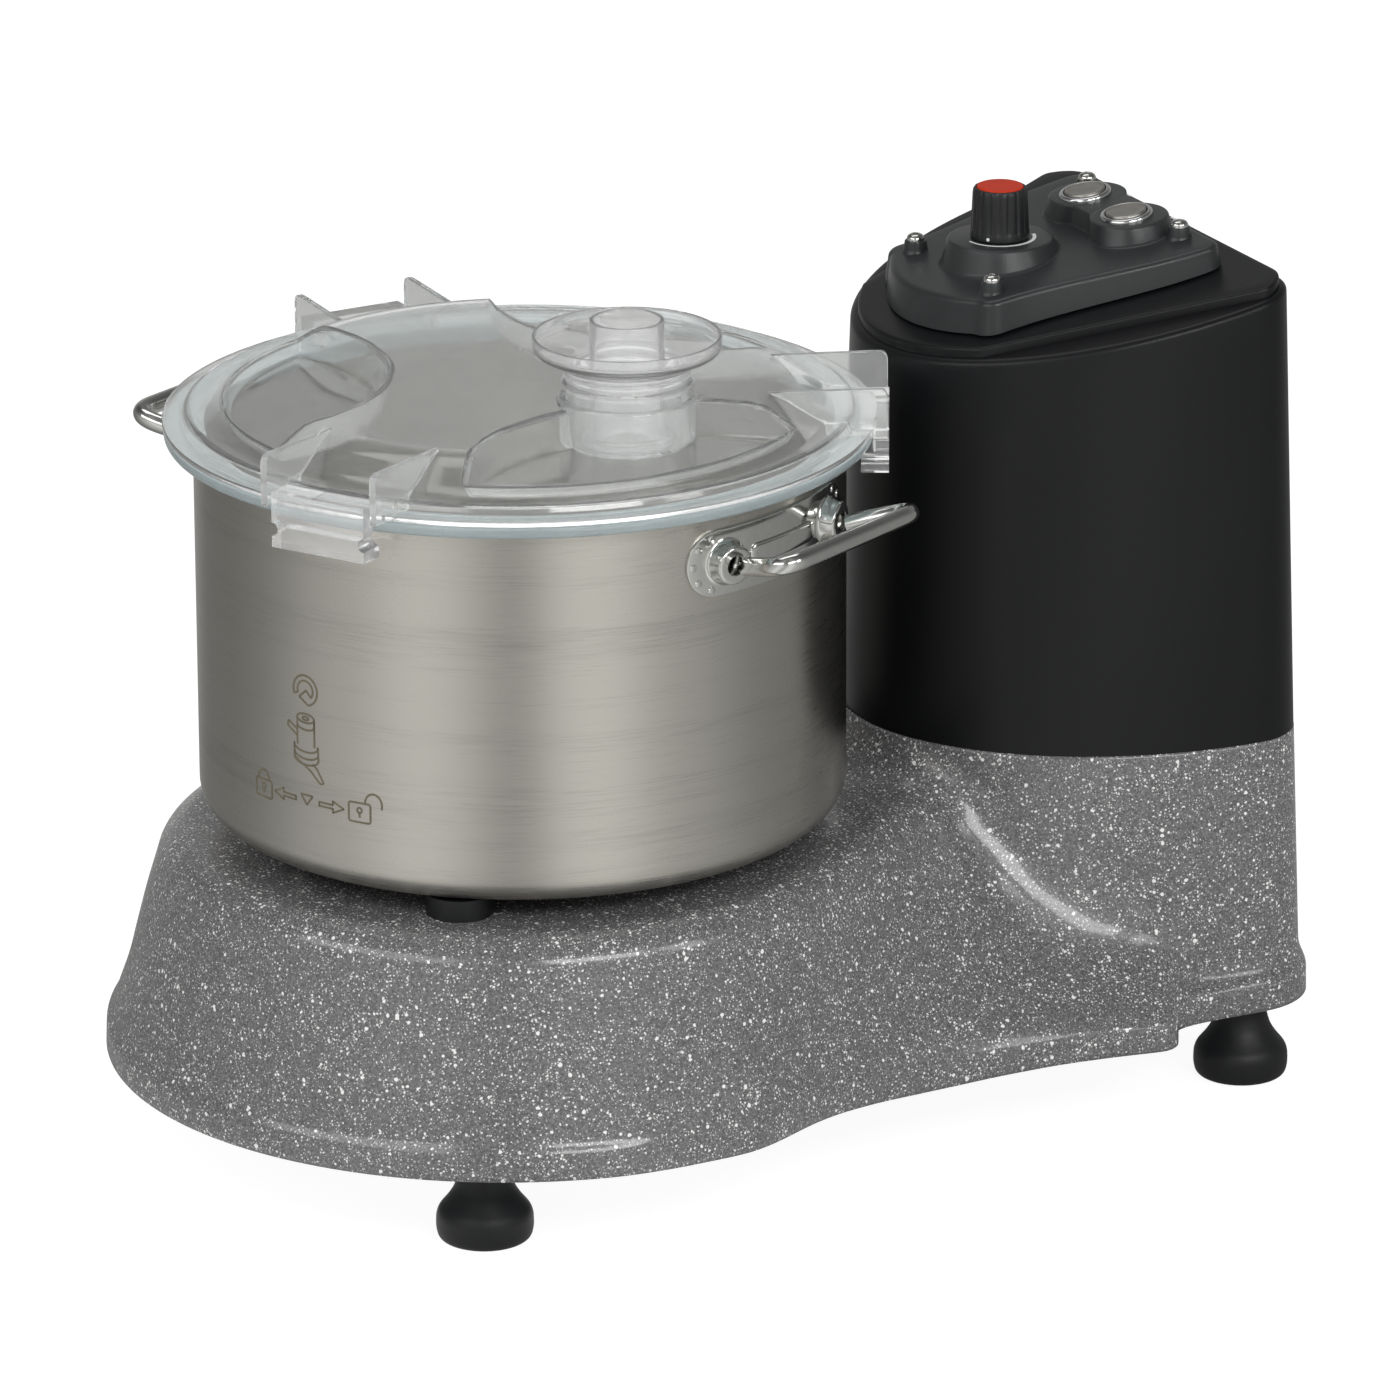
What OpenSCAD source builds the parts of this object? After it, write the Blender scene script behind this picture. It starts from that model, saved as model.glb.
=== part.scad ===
// Table-top bowl cutter for vegetables: a steel bowl with a clear lid stands on an enamelled base,
// and a belt inside the base turns two blades from a motor in the column behind the bowl.
// All heights start at the table, and all modules are drawn about the bowl's axis.

/* [Bowl] */
// Outer radius of the bowl
bowl_r = 135; // [130:0.5:140]
// Height of the bowl, floor to rim
bowl_h = 164; // [155:1:175]
// Thickness of the bowl's steel
bowl_wall = 1.2; // [1:0.1:2]
// Radius of the bend between the bowl's floor and its side
bowl_bend = 13.7; // [10:0.1:18]
// Radius of the tube that rises from the bowl's floor
tube_r = 22; // [20:0.5:23]
// Height of that tube above the bowl's floor
tube_h = 66; // [58:1:74]
// Thickness of that tube
tube_wall = 1.5; // [1:0.1:2.5]

/* [Bowl handles] */
// Direction of the front handle round the bowl's axis
handle_turn = -64; // [-70:1:-58]
// Reach of a handle past the bowl's side
handle_reach = 37; // [32:1:42]
// Half the length of a handle's bar
handle_half = 48; // [44:1:54]
// Radius of the handle's rod
rod_r = 4; // [3:0.5:5]
// Drop of the handle's fixings below the bowl's rim
handle_drop = 25; // [22:1:30]
// Rise of the handle's bar above its fixings
handle_rise = 9; // [5:1:12]
// Distance of a fixing from the handle's middle
boss_side = 34; // [30:1:38]
// Radius of a fixing
boss_r = 8; // [6.5:0.5:9]
// Length of a fixing
boss_len = 7; // [5:0.5:9]
// Thickness of the plate that is welded to the bowl
weld_t = 1.5; // [1:0.1:2]
// Height of that plate
weld_h = 28; // [24:1:32]
// Half the angle that the plate covers
weld_angle = 22.3; // [20:0.1:25]

/* [Lid] */
// Overhang of the lid's flange past the bowl
lid_over = 12.5; // [10:0.5:14]
// Thickness of the lid's plastic
lid_wall = 3; // [2.5:0.1:4]
// Height of the star in the lid above its flange
star_h = 18; // [14:1:22]
// Radius of the star's flat top
star_r = 100; // [96:1:104]
// Height of the lid's rib ring above its flange
rib_h = 4; // [2:0.5:5]
// Width of the rib ring
rib_w = 9; // [6:0.5:11]
// Radius of the arc that bounds a window towards the lid's middle
window_r = 90; // [84:1:94]
// Distance of that arc's centre from the lid's axis
window_out = 145; // [140:1:150]
// Width of the ledge between the windows and the rib ring
window_edge = 17; // [13:1:20]
// Direction of the first window
window_turn = 32; // [28:1:36]
// Height of the seal under the lid's flange
seal_h = 8; // [6:0.5:10]
// Distance between the two fins of a clip
fin_gap = 52; // [48:1:58]
// Width of a clip
clip_w = 44; // [38:1:46]
// Height of a clip
clip_h = 23; // [19:0.5:27]
// Depth of a clip in front of the flange
clip_out = 5; // [4:0.5:6.5]

/* [Feed funnel] */
// Distance of the funnel from the lid's axis
funnel_out = 57; // [54:1:60]
// Direction of the funnel round the lid's axis
funnel_turn = -65; // [-70:1:-60]
// Outer radius of the funnel's neck
neck_r = 25.5; // [24:0.5:27]
// Radius of the collar that holds the neck
collar_r = 31; // [29.5:0.5:33]
// Outer radius of the funnel's dish
dish_r = 38.5; // [36:0.5:41]
// Height of the dish's rim above the lid's star
dish_h = 22; // [18:0.5:26]
// Height of the dish's upright lip
lip_up = 6; // [4:0.5:8]
// Outer radius of the feed tube inside the funnel
feed_r = 15.5; // [13:0.5:17]
// Height of the feed tube above the dish's rim
feed_up = 7; // [4:0.5:10]

/* [Base] */
// Radius of the base's lip round the front
lip_r = 172; // [168:1:176]
// Distance of that lip's centre in front of the bowl's axis
lip_fore = 5; // [3:0.5:7]
// Height of the lip
lip_h = 13; // [10:0.5:16]
// Height of the base from the lip's underside to the platform under the bowl
body_h = 96; // [90:1:104]
// Thickness of the base's casting
body_wall = 4; // [3:0.1:5]
// Half the width of the lip beside the column
waist_half = 132; // [128:1:136]
// Length of that part of the lip past the column's nose
waist_len = 81; // [76:1:86]
// Height of the rubber pads between the platform and the bowl
pad_h = 12; // [10:0.5:15]
// Radius of a rubber pad
pad_r = 14; // [11:0.5:15]
// Distance of the pads from the bowl's side
pad_in = 21; // [19:0.5:24]

/* [Feet] */
// Height of a foot, table to base plate
foot_h = 38; // [32:1:42]
// Radius of a foot
foot_r = 20; // [17:0.5:22]
// Radius of a foot's neck
foot_neck = 9.8; // [8.5:0.1:11]
// Distance of a front foot in from the lip
foot_front_in = 39.2; // [36:0.2:44]
// Direction of a front foot from the middle of the lip's circle
foot_front_turn = 121.3; // [118:0.5:125]
// Inset of the rear feet from the column's rear and sides
foot_rear_in = 25; // [23:0.5:28]

/* [Column] */
// Gap between the bowl's side and the column's nose
column_gap = 20; // [18.5:0.5:25]
// Length of the column's rounded nose
nose_len = 135; // [130:1:140]
// Half the width of the column
column_half = 107; // [103:1:111]
// Radius of the column's rear corners
column_corner = 28; // [26:1:30]
// Height of the black cover above the platform, at its lower edge
parting_h = 22; // [18:1:26]
// Height of the cover's top at the nose
cover_h = 168; // [160:1:176]
// Slope of the cover's top
cover_slope = 11.3; // [9:0.1:13]
// Draft of the column's sides
column_draft = 2; // [1.5:0.1:2.5]
// Thickness of the cover's wall
cover_wall = 3; // [2:0.1:4]
// Height of the step round the cover's middle
step_h = 4.2; // [3:0.1:5]

/* [Control panel] */
// Length of the panel
panel_len = 120; // [116:1:124]
// Distance of the panel's front behind the column's nose
panel_back = 25; // [23:1:28]
// Half the panel's width at its front
panel_front_half = 48; // [46:1:52]
// Half the panel's width at its rear
panel_rear_half = 63; // [60:1:66]
// Height of the panel at its front
panel_front_h = 15.5; // [13:0.5:18]
// Height of the panel at its rear
panel_rear_h = 10.5; // [9:0.5:12]
// Thickness of the panel's wall
panel_wall = 3; // [2.5:0.1:3.5]
// Distance of the knob behind the panel's front
knob_back = 45; // [42:1:48]
// Radius of the knob
knob_r = 12.5; // [11:0.5:14]
// Height of the knob
knob_h = 22.4; // [18:0.2:26]
// Radius of the boss under the knob
dial_r = 20; // [18:0.5:22]
// Height of that boss above the panel
dial_h = 7.6; // [6.5:0.1:9]
// Distance of the buttons behind the panel's front
button_back = 97; // [94:1:100]
// Half the distance between the buttons
button_half = 18; // [17:0.5:20]
// Outer radius of a button's bezel
bezel_r = 11.25; // [10:0.25:12]
// Height of a bezel above its boss
bezel_h = 2.2; // [1.8:0.1:3]
// Height of a button above its bezel
button_up = 0.8; // [0.5:0.1:1.5]
// Travel of a button
button_travel = 2.5; // [2:0.1:3]

/* [Drive] */
// Distance of the motor's axis in front of the column's middle
motor_fore = 50; // [46:1:52]
// Radius of the motor's housing
motor_r = 60; // [55:1:64]
// Length of the motor
motor_len = 132; // [124:1:140]
// Radius of the motor's shaft
motor_shaft_r = 7; // [6:0.5:8]
// Radius of the motor's pulley
motor_pulley_r = 24; // [20:1:28]
// Radius of the spindle's pulley
spindle_pulley_r = 32; // [28:1:36]
// Radius of the spindle
spindle_r = 8; // [7:0.5:9]
// Width of the belt
belt_w = 16; // [12:1:20]
// Thickness of the belt
belt_t = 3; // [2:0.5:4]
// Outer radius of a spindle bearing
bearing_r = 17.5; // [16:0.5:19]
// Width of a spindle bearing
bearing_w = 11; // [9:1:13]
// Outer radius of the bearing housing
housing_r = 27; // [25:0.5:29]
// Length of a blade, hub axis to tip
blade_len = 124; // [118:1:125]
// Thickness of a blade
blade_t = 2.5; // [2:0.1:3]

/* [Cable entry] */
// Bore of the cable gland
gland_bore_r = 5; // [4:0.5:6]
// Radius of the gland's hexagon
gland_r = 12; // [10:0.5:13]
// Reach of the gland past the lip
gland_out = 9; // [7:0.5:14]

/* [Hidden] */
$fn = 96;

// Clearance between pieces that move past each other
clear = 0.3;
// Running clearance of a shaft in its bore
run_gap = 0.05;
// Clearance of a piece that is seated in another
fit_gap = 0.02;
// Overrun of a cut past the face that it opens
over = 1;

// Heights
lip_drop = 3;
lip_z = foot_h - lip_drop;
platform_z = lip_z + body_h;
bowl_z = platform_z + pad_h;
rim_z = bowl_z + bowl_h;
parting_z = platform_z + parting_h;
plate_t = 3;
plate_top = foot_h + plate_t;

// Handles
handle_z = rim_z - handle_drop;
boss_face = bowl_r + weld_t + boss_len;
bar_bend = 15;
pad_dish = 4;

// Lid
clip_grip = 6.5;
rim_rise = 2;
lid_z = rim_z + rim_rise;
flange_z = lid_z + lid_wall;
flange_r = bowl_r + lid_over;
rib_r = flange_r - rib_w;
star_z = flange_z + star_h;
cone_r = rib_r - rib_w;
window_outer_r = rib_r - rib_w - window_edge + body_wall;
seal_in = 5;
clip_r = flange_r + clip_out;
station_step = 120;
station_turn = window_turn - station_step / 2;
stations = [0, station_step, 2 * station_step];
funnel_x = funnel_out * cos(funnel_turn);
funnel_y = funnel_out * sin(funnel_turn);
funnel_floor = lid_z + lid_wall;

// Column
tip_x = bowl_r + column_gap;
column_x = tip_x + nose_len;
column_rear = column_x + column_corner;
foot_spread = (parting_z - lip_z) * tan(column_draft);
lip_side = 7;
lip_back = 4;
waist_x = tip_x + waist_len;
base_front = lip_r + lip_fore;
foot_ring_r = lip_r - foot_front_in;
foot_fore = lip_fore - foot_ring_r * cos(foot_front_turn);
foot_front_half = foot_ring_r * sin(foot_front_turn);
base_rear = column_rear + foot_spread + lip_back;
frame_rear = base_rear + gland_out;
bowl_x = (base_front - frame_rear) / 2;
edge_r = 3;
facet_front_half = 51;
facet_rear_half = 100;
facet_front_back = 24;
facet_len = 125;
motor_x = column_x - motor_fore;

// Control panel
panel_x = tip_x + panel_back;
panel_tilt = atan((cover_slope_rise(panel_len) + panel_rear_h - panel_front_h) / panel_len);
panel_edge = 2.5;
panel_corner = 9;
panel_draft = 1.5;
panel_bulge = 12;
gasket_t = 1;
knob_x = panel_x + knob_back;
dial_z = panel_top(knob_x) + dial_h;
dial_flare = 4.5;
dial_base = panel_top(knob_x) - panel_wall - dial_flare / 2;
knob_z = dial_z + clear;
button_x = panel_x + button_back;
button_boss_h = 5.5;
button_boss_r = bezel_r + panel_wall;
button_clip = 1;
barrel_r = bezel_r - button_clip;
button_r = barrel_r - 1.5 * button_clip;
barrel_depth = 14;
button_foot = 8;
contact_h = 22;
contact_w = 26;
screw_front_back = 23;
screw_front_half = 34;
screw_rear_back = 109;
screw_rear_half = 40;
stub_h = 4.5;
stub_r = 5;
screw_head_r = 3.8;
screw_head_h = 2.8;
screw_r = 2;
panel_screw_places = [
  for (s = [-1, 1]) each [
    [panel_x + screw_front_back, s * screw_front_half],
    [panel_x + screw_rear_back, s * screw_rear_half]
  ]
];
wiring_half = 32;
wiring_front = 15;
wiring_rear = 16;

bushing_r = 5;
pot_r = 11;
pot_h = 11;
pot_shaft_r = 3;
knob_cap_r = 10;
knob_cap_t = 2.4;

// Drive
motor_z = parting_z - clear;
motor_plate_t = 6;
motor_plate_z = parting_z - motor_plate_t;
bell_h = 14;
motor_wall = 8;
rotor_gap = 4;
rotor_r = motor_r - motor_wall - rotor_gap;
pulley_flange = 4;
pulley_flange_t = 2;
pulley_rise = 27;
pulley_z = plate_top + pulley_rise;
pulley_h = belt_w + 2 * (pulley_flange_t + over);
shaft_tail = 6;
bearing_gap = 9;
housing_wall = 3;
housing_top = platform_z + pad_h / 2;
housing_flange_w = 13;
housing_flange_r = housing_r + housing_flange_w;
housing_flange_t = 6;
neck_housing_r = housing_r - housing_wall;
upper_bearing_z = platform_z - body_wall - bearing_w;
lower_bearing_z = upper_bearing_z - bearing_gap - bearing_w;
seal_r = spindle_r + 7;
hub_r = tube_r + 4;
hub_gap = 0.6;
hub_lift = 3.8;
hub_z = bowl_z + bowl_wall + hub_lift;
hub_flange = 4;
hub_flange_t = 2;
hub_top = bowl_z + tube_h + hub_lift;
hub_cap = 12;
blade_pitch = 20;
blade_z = hub_z + hub_flange_t;
upper_blade_z = blade_z + blade_t + blade_pitch;
blade_nut_h = 8;
blade_sweep_share = 0.34;
blade_ring = 5;

// Fixings
post_r = 7;
post_len = 30;
post_turn = 40;
plate_post_len = 26;
plate_post_r = 6;
plate_screw_r = 2;
plate_screw_len = 16;
plate_screw_head_h = 2.2;
plate_screw_head_r = 4;
foot_bolt_r = 3;
foot_bolt_head_r = 5.2;
foot_bolt_head_h = 4;
foot_bolt_depth = 16;
plate_bolt_r = 3;
plate_bolt_head_r = 5;
plate_bolt_head_h = 4;
plate_bolt_len = 18;
side_post_x = 150;
nose_post_turns = [110, 180, 250];

// Electric parts
board_size = [80, 110, 1.6];
board_in = 42;
board_fore = lip_r - board_in;
standoff_h = 8;
standoff_r = 3.5;
block_size = [18, 50, 20];
switch_size = [14, 28, 10];
magnet_r = 6;
magnet_h = 4;
magnet_in = 33;
gland_rise = 30;
gland_z = lip_z + gland_rise;
gland_thread_r = 9;
gland_nut_t = 5;
hex_sides = 6;
gland_tail = 10;
wall_out = draft_at(gland_z) + lip_back + foot_spread;
gland_seat = wall_out - gland_r * tan(column_draft) - fit_gap;
post_inset = body_wall + 0.8 * post_r;

// Shape of the base's front: share of its height, share of the lip's radius, and the angle at
// which each side runs in towards the column
front_shares = [
  [0.08, 0.985, 20], [0.14, 0.982, 20], [0.24, 0.965, 20], [0.33, 0.945, 20], [0.43, 0.928, 21],
  [0.52, 0.915, 22], [0.60, 0.901, 22], [0.70, 0.889, 25], [0.78, 0.875, 30], [0.86, 0.864, 34],
  [0.93, 0.848, 39], [0.97, 0.824, 44], [1.00, 0.785, 48]
];
// Outline of a foot: shares of its radius and of its height
foot_shares = [
  [0.92, 0], [1, 0.04], [1, 0.2], [0.95, 0.22], [0.95, 0.26], [1, 0.29], [0.95, 0.45], [0.76, 0.62],
  [0.56, 0.74]
];

// Rise of the cover's top over a length
function cover_slope_rise(len) = len * tan(cover_slope);
// Height of the cover's top at a place along the machine
function cover_top(x) = parting_z + cover_h + cover_slope_rise(x - tip_x);
// Height of the panel's top at a place along the machine
function panel_top(x) = cover_top(panel_x) + panel_front_h + (x - panel_x) * tan(panel_tilt);
// Inset of the column's side at a height
function draft_at(z) = (z - parting_z) * tan(column_draft);
function mix(a, b, t) = a + (b - a) * t;
function ease(t) = t * t * (3 - 2 * t);
function mean(ring) = [for (k = [0:2]) sum_of(ring, k) / len(ring)];
function sum_of(ring, k, i = 0) = i == len(ring) ? 0 : ring[i][k] + sum_of(ring, k, i + 1);

// Half the width, at x, of a base side that runs in at an angle from an arc of radius r
function side_y(x, r, angle) = (r - (x + lip_fore) * sin(angle)) / cos(angle);

// Ring round the base's front at height z
function front_ring(z, r, angle) =
  let (n = 44, a0 = 90 - angle, far = min(column_x - column_corner, (r - body_wall * cos(angle)) / sin(angle) - lip_fore))
  concat(
    [for (i = [0:n]) let (a = a0 + (360 - 2 * a0) * i / n) [r * cos(a) - lip_fore, r * sin(a), z]],
    [[far, -side_y(far, r, angle), z], [far, side_y(far, r, angle), z]]
  );

// Ring round the column, with its side set in by d
function column_ring(d) =
  let (n = 32, m = 6, corner = column_corner - d)
  concat(
    [for (i = [0:n]) let (a = 90 + 180 * i / n) [column_x + (nose_len - d) * cos(a), (column_half - d) * sin(a)]],
    [for (i = [1:m]) let (a = -90 + 90 * i / m) [column_x + corner * cos(a), corner * sin(a) - column_half + column_corner]],
    [for (i = [0:m - 1]) let (a = 90 * i / m) [column_x + corner * cos(a), corner * sin(a) + column_half - column_corner]]
  );
function raise(ring, z) = [for (p = ring) [p[0], p[1], z]];
function to_top(ring, drop) = [for (p = ring) [p[0], p[1], cover_top(p[0]) - drop]];

// Half the width of the cover's raised middle
function facet_half(x) =
  mix(facet_front_half, facet_rear_half, (x - tip_x - facet_front_back) / facet_len);
function inside_facets(ring) =
  [for (p = ring) [p[0], sign(p[1]) * min(abs(p[1]), max(facet_half(p[0]), step_h))]];

// Ring round the control panel, with its side set in by d
function panel_ring(d) =
  let (n = 10, m = 5, c = panel_corner - d, front = panel_front_half - panel_corner, rear = panel_rear_half - panel_corner,
    x0 = panel_x + panel_bulge + panel_corner, x1 = panel_x + panel_len - panel_corner)
  concat(
    [for (i = [0:n]) let (t = 1 - 2 * i / n) [panel_x + d + panel_bulge * t * t, front * t]],
    [for (i = [1:m]) let (a = 180 + 90 * i / m) [x0 + c * cos(a), c * sin(a) - front]],
    [for (i = [1:n - 1]) let (t = i / n) [mix(x0, x1, t), -mix(front, rear, ease(t)) - c]],
    [for (i = [0:m]) let (a = 270 + 90 * i / m) [x1 + c * cos(a), c * sin(a) - rear]],
    [for (i = [0:m]) let (a = 90 * i / m) [x1 + c * cos(a), c * sin(a) + rear]],
    [for (i = [1:n - 1]) let (t = 1 - i / n) [mix(x0, x1, t), mix(front, rear, ease(t)) + c]],
    [for (i = [0:m - 1]) let (a = 90 + 90 * i / m) [x0 + c * cos(a), c * sin(a) + front]]
  );
function panel_level(ring, drop) = [for (p = ring) [p[0], p[1], panel_top(p[0]) - drop]];

// Points of a quadratic curve
function bend(a, b, c, n) = [for (i = [0:n]) let (t = i / n) a * (1 - t) * (1 - t) + b * 2 * t * (1 - t) + c * t * t];

module at_bowl() {
  translate([bowl_x, 0, 0]) children();
}

// Solid through a list of rings, each with as many points as the last
module loft(rings) {
  n = len(rings[0]);
  m = len(rings);
  low = n * m;
  high = n * m + 1;
  polyhedron(
    points = concat([for (ring = rings) each ring], [mean(rings[0]), mean(rings[m - 1])]),
    faces = concat(
      [for (k = [0:m - 2], i = [0:n - 1]) [k * n + i, (k + 1) * n + i, (k + 1) * n + (i + 1) % n]],
      [for (k = [0:m - 2], i = [0:n - 1]) [k * n + i, (k + 1) * n + (i + 1) % n, k * n + (i + 1) % n]],
      [for (i = [0:n - 1]) [low, i, (i + 1) % n]],
      [for (i = [0:n - 1]) [high, (m - 1) * n + (i + 1) % n, (m - 1) * n + i]]
    )
  );
}

// Round rod along a list of points
module rod(path, r, sides) {
  n = len(path);
  rings = [
    for (i = [0:n - 1])
      let (
        ahead = path[min(i + 1, n - 1)] - path[max(i - 1, 0)],
        t = ahead / norm(ahead),
        u0 = cross(t, [0, 0, 1]),
        u = u0 / norm(u0),
        v = cross(t, u)
      )
      [for (k = [0:sides - 1]) path[i] + r * cos(360 * k / sides) * u + r * sin(360 * k / sides) * v]
  ];
  loft(rings);
}

// Tube of an outer radius r and an inner radius hole
module pipe(r, hole, h) {
  difference() {
    cylinder(r = r, h = h);
    translate([0, 0, -over]) cylinder(r = hole, h = h + 2 * over);
  }
}

module on_panel(x, y) {
  translate([x, y, panel_top(x)]) rotate([0, -panel_tilt, 0]) children();
}

module at_buttons() {
  for (s = [-1, 1]) on_panel(button_x, s * button_half) children();
}

// Outline of the base's lip, set in by d
module lip_outline(d) {
  translate([-lip_fore, 0]) circle(r = lip_r - d);
  translate([0, d - waist_half]) square([waist_x - d, 2 * (waist_half - d)]);
  skirt_half = column_half + foot_spread + lip_side - d;
  skirt_corner = column_corner + foot_spread - d;
  translate([0, -skirt_half]) square([base_rear - d - skirt_corner, 2 * skirt_half]);
  translate([0, skirt_corner - skirt_half]) square([base_rear - d, 2 * (skirt_half - skirt_corner)]);
  for (s = [-1, 1])
    translate([base_rear - d - skirt_corner, s * (skirt_half - skirt_corner)]) circle(r = skirt_corner);
}

// Rounded front of the base, made smaller by d all round
module front_shell(d, drop) {
  loft([
    for (row = front_shares)
      front_ring(lip_z + row[0] * (body_h - d) - drop * (1 - row[0]), lip_r * row[1] - d, row[2])
  ]);
}

module column_shell(d, z0, z1) {
  loft([for (z = [z0, z1]) raise(column_ring(draft_at(z) + d), z)]);
}

module at_posts(rise) {
  inset = post_inset;
  for (s = [-1, 1]) {
    translate([
      column_x - (nose_len - inset) * cos(post_turn), s * (column_half - inset) * sin(post_turn), rise
    ]) children();
    translate([column_x, s * (column_half - column_corner), 0])
      rotate([0, 0, s * 45]) translate([column_corner - inset, 0, rise]) children();
  }
}

module at_plate_posts(rise) {
  inset = body_wall + 0.8 * plate_post_r;
  low = front_shares[3];
  for (a = nose_post_turns)
    translate([
      (lip_r * low[1] - inset) * cos(a) - lip_fore, (lip_r * low[1] - inset) * sin(a), rise
    ]) children();
  for (s = [-1, 1])
    translate([side_post_x, s * side_y(side_post_x, lip_r * low[1] - inset, low[2]), rise]) children();
}

module base_body() {
  color("#62625f") at_bowl() difference() {
    union() {
      difference() {
        union() {
          translate([0, 0, lip_z]) linear_extrude(lip_h) lip_outline(0);
          front_shell(0, 0);
          column_shell(0, lip_z + body_wall, parting_z);
        }
        translate([0, 0, lip_z - over]) linear_extrude(lip_h - body_wall + over) lip_outline(body_wall);
        front_shell(body_wall, 2 * lip_h);
        column_shell(body_wall, lip_z - over, parting_z + over);
      }
      at_posts(motor_plate_z - post_len) cylinder(r = post_r, h = post_len);
      at_plate_posts(plate_top) cylinder(r = plate_post_r, h = plate_post_len);
    }
    translate([0, 0, platform_z - 2 * body_wall]) cylinder(r = neck_housing_r + fit_gap, h = 4 * body_wall);
    at_posts(motor_plate_z - plate_bolt_len) cylinder(r = plate_bolt_r + fit_gap, h = plate_bolt_len + over);
    at_plate_posts(plate_top - over) cylinder(r = plate_screw_r + fit_gap, h = plate_screw_len + over);
    at_gland() cylinder(r = gland_thread_r + fit_gap, h = 8 * body_wall, center = true);
    at_housing_screws(platform_z - 2 * body_wall) cylinder(r = plate_screw_r + fit_gap, h = 2 * body_wall - over);
  }
}

module at_feet(rise) {
  for (s = [-1, 1]) {
    translate([-foot_fore, s * foot_front_half, rise]) children();
    translate([column_rear - foot_rear_in, s * (column_half - foot_rear_in / 2), rise]) children();
  }
}

module base_plate() {
  color("#9a9c9c") at_bowl() difference() {
    translate([0, 0, foot_h]) linear_extrude(plate_t) lip_outline(body_wall + clear);
    at_feet(foot_h - over) cylinder(r = foot_bolt_r + fit_gap, h = plate_t + 2 * over);
    at_plate_posts(foot_h - over) cylinder(r = plate_screw_r + fit_gap, h = plate_t + 2 * over);
  }
}

module plate_screws() {
  color("#b9bbbb") at_bowl() at_plate_posts(foot_h) {
    translate([0, 0, -plate_screw_head_h]) cylinder(r = plate_screw_head_r, h = plate_screw_head_h);
    cylinder(r = plate_screw_r, h = plate_t + plate_screw_len - over);
  }
}

module feet() {
  color("#1d1d1f") at_bowl() at_feet(0) difference() {
    rotate_extrude() polygon(concat(
      [[0, 0]],
      [for (p = foot_shares) [foot_r * p[0], foot_h * p[1]]],
      [[foot_neck, 0.8 * foot_h], [foot_neck, foot_h], [0, foot_h]]
    ));
    translate([0, 0, foot_h - foot_bolt_depth]) cylinder(r = foot_bolt_r + fit_gap, h = foot_bolt_depth + over);
  }
}

module foot_bolts() {
  color("#b9bbbb") at_bowl() at_feet(plate_top) {
    cylinder(r = foot_bolt_head_r, h = foot_bolt_head_h);
    translate([0, 0, over - foot_bolt_depth - plate_t])
      cylinder(r = foot_bolt_r, h = foot_bolt_depth + plate_t - over);
  }
}

module bowl_pads() {
  color("#1d1d1f") at_bowl() for (a = stations)
    rotate([0, 0, a - 129]) translate([bowl_r - pad_in, 0, platform_z]) difference() {
      cylinder(r = pad_r, h = pad_h - clear);
      translate([0, 0, pad_h - clear - pad_dish]) cylinder(r = pad_r / 3, h = pad_dish + over);
    }
}

module motor_cover() {
  color("#222224") at_bowl() difference() {
    union() {
      loft(concat(
        [raise(column_ring(0), parting_z)],
        [to_top(column_ring(draft_at(cover_top(tip_x))), step_h + edge_r)],
        [to_top(column_ring(draft_at(cover_top(tip_x)) + 0.3 * edge_r), step_h + 0.3 * edge_r)],
        [to_top(column_ring(draft_at(cover_top(tip_x)) + edge_r), step_h)]
      ));
      loft([
        to_top(inside_facets(column_ring(draft_at(cover_top(tip_x)) + 1.3 * edge_r)), step_h + cover_wall / 2),
        to_top(inside_facets(column_ring(draft_at(cover_top(tip_x)) + 1.3 * edge_r)), step_h / 4),
        to_top(inside_facets(column_ring(draft_at(cover_top(tip_x)) + 1.6 * edge_r)), 0)
      ]);
    }
    loft([
      raise(column_ring(cover_wall), parting_z - over),
      to_top(column_ring(draft_at(cover_top(tip_x)) + cover_wall), step_h + cover_wall)
    ]);
    wiring_window(cover_top(panel_x) - cover_h / 4, cover_h / 2);
    for (p = panel_screw_places)
      translate([p[0], p[1], cover_top(p[0]) - cover_h / 8]) cylinder(r = screw_r + fit_gap, h = cover_h / 4);
  }
}

module wiring_window(z, h) {
  translate([panel_x + knob_back - wiring_front, -wiring_half, z])
    cube([button_back - knob_back + wiring_front + wiring_rear, 2 * wiring_half, h]);
}

module panel_gasket() {
  color("#151515") at_bowl() difference() {
    loft([
      to_top(panel_ring(panel_draft / 2), 0),
      to_top(panel_ring(panel_draft / 2), -gasket_t)
    ]);
    wiring_window(cover_top(panel_x) - cover_h / 4, cover_h / 2);
    for (p = panel_screw_places)
      translate([p[0], p[1], cover_top(p[0]) - cover_h / 8]) cylinder(r = screw_r + fit_gap, h = cover_h / 4);
  }
}

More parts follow.
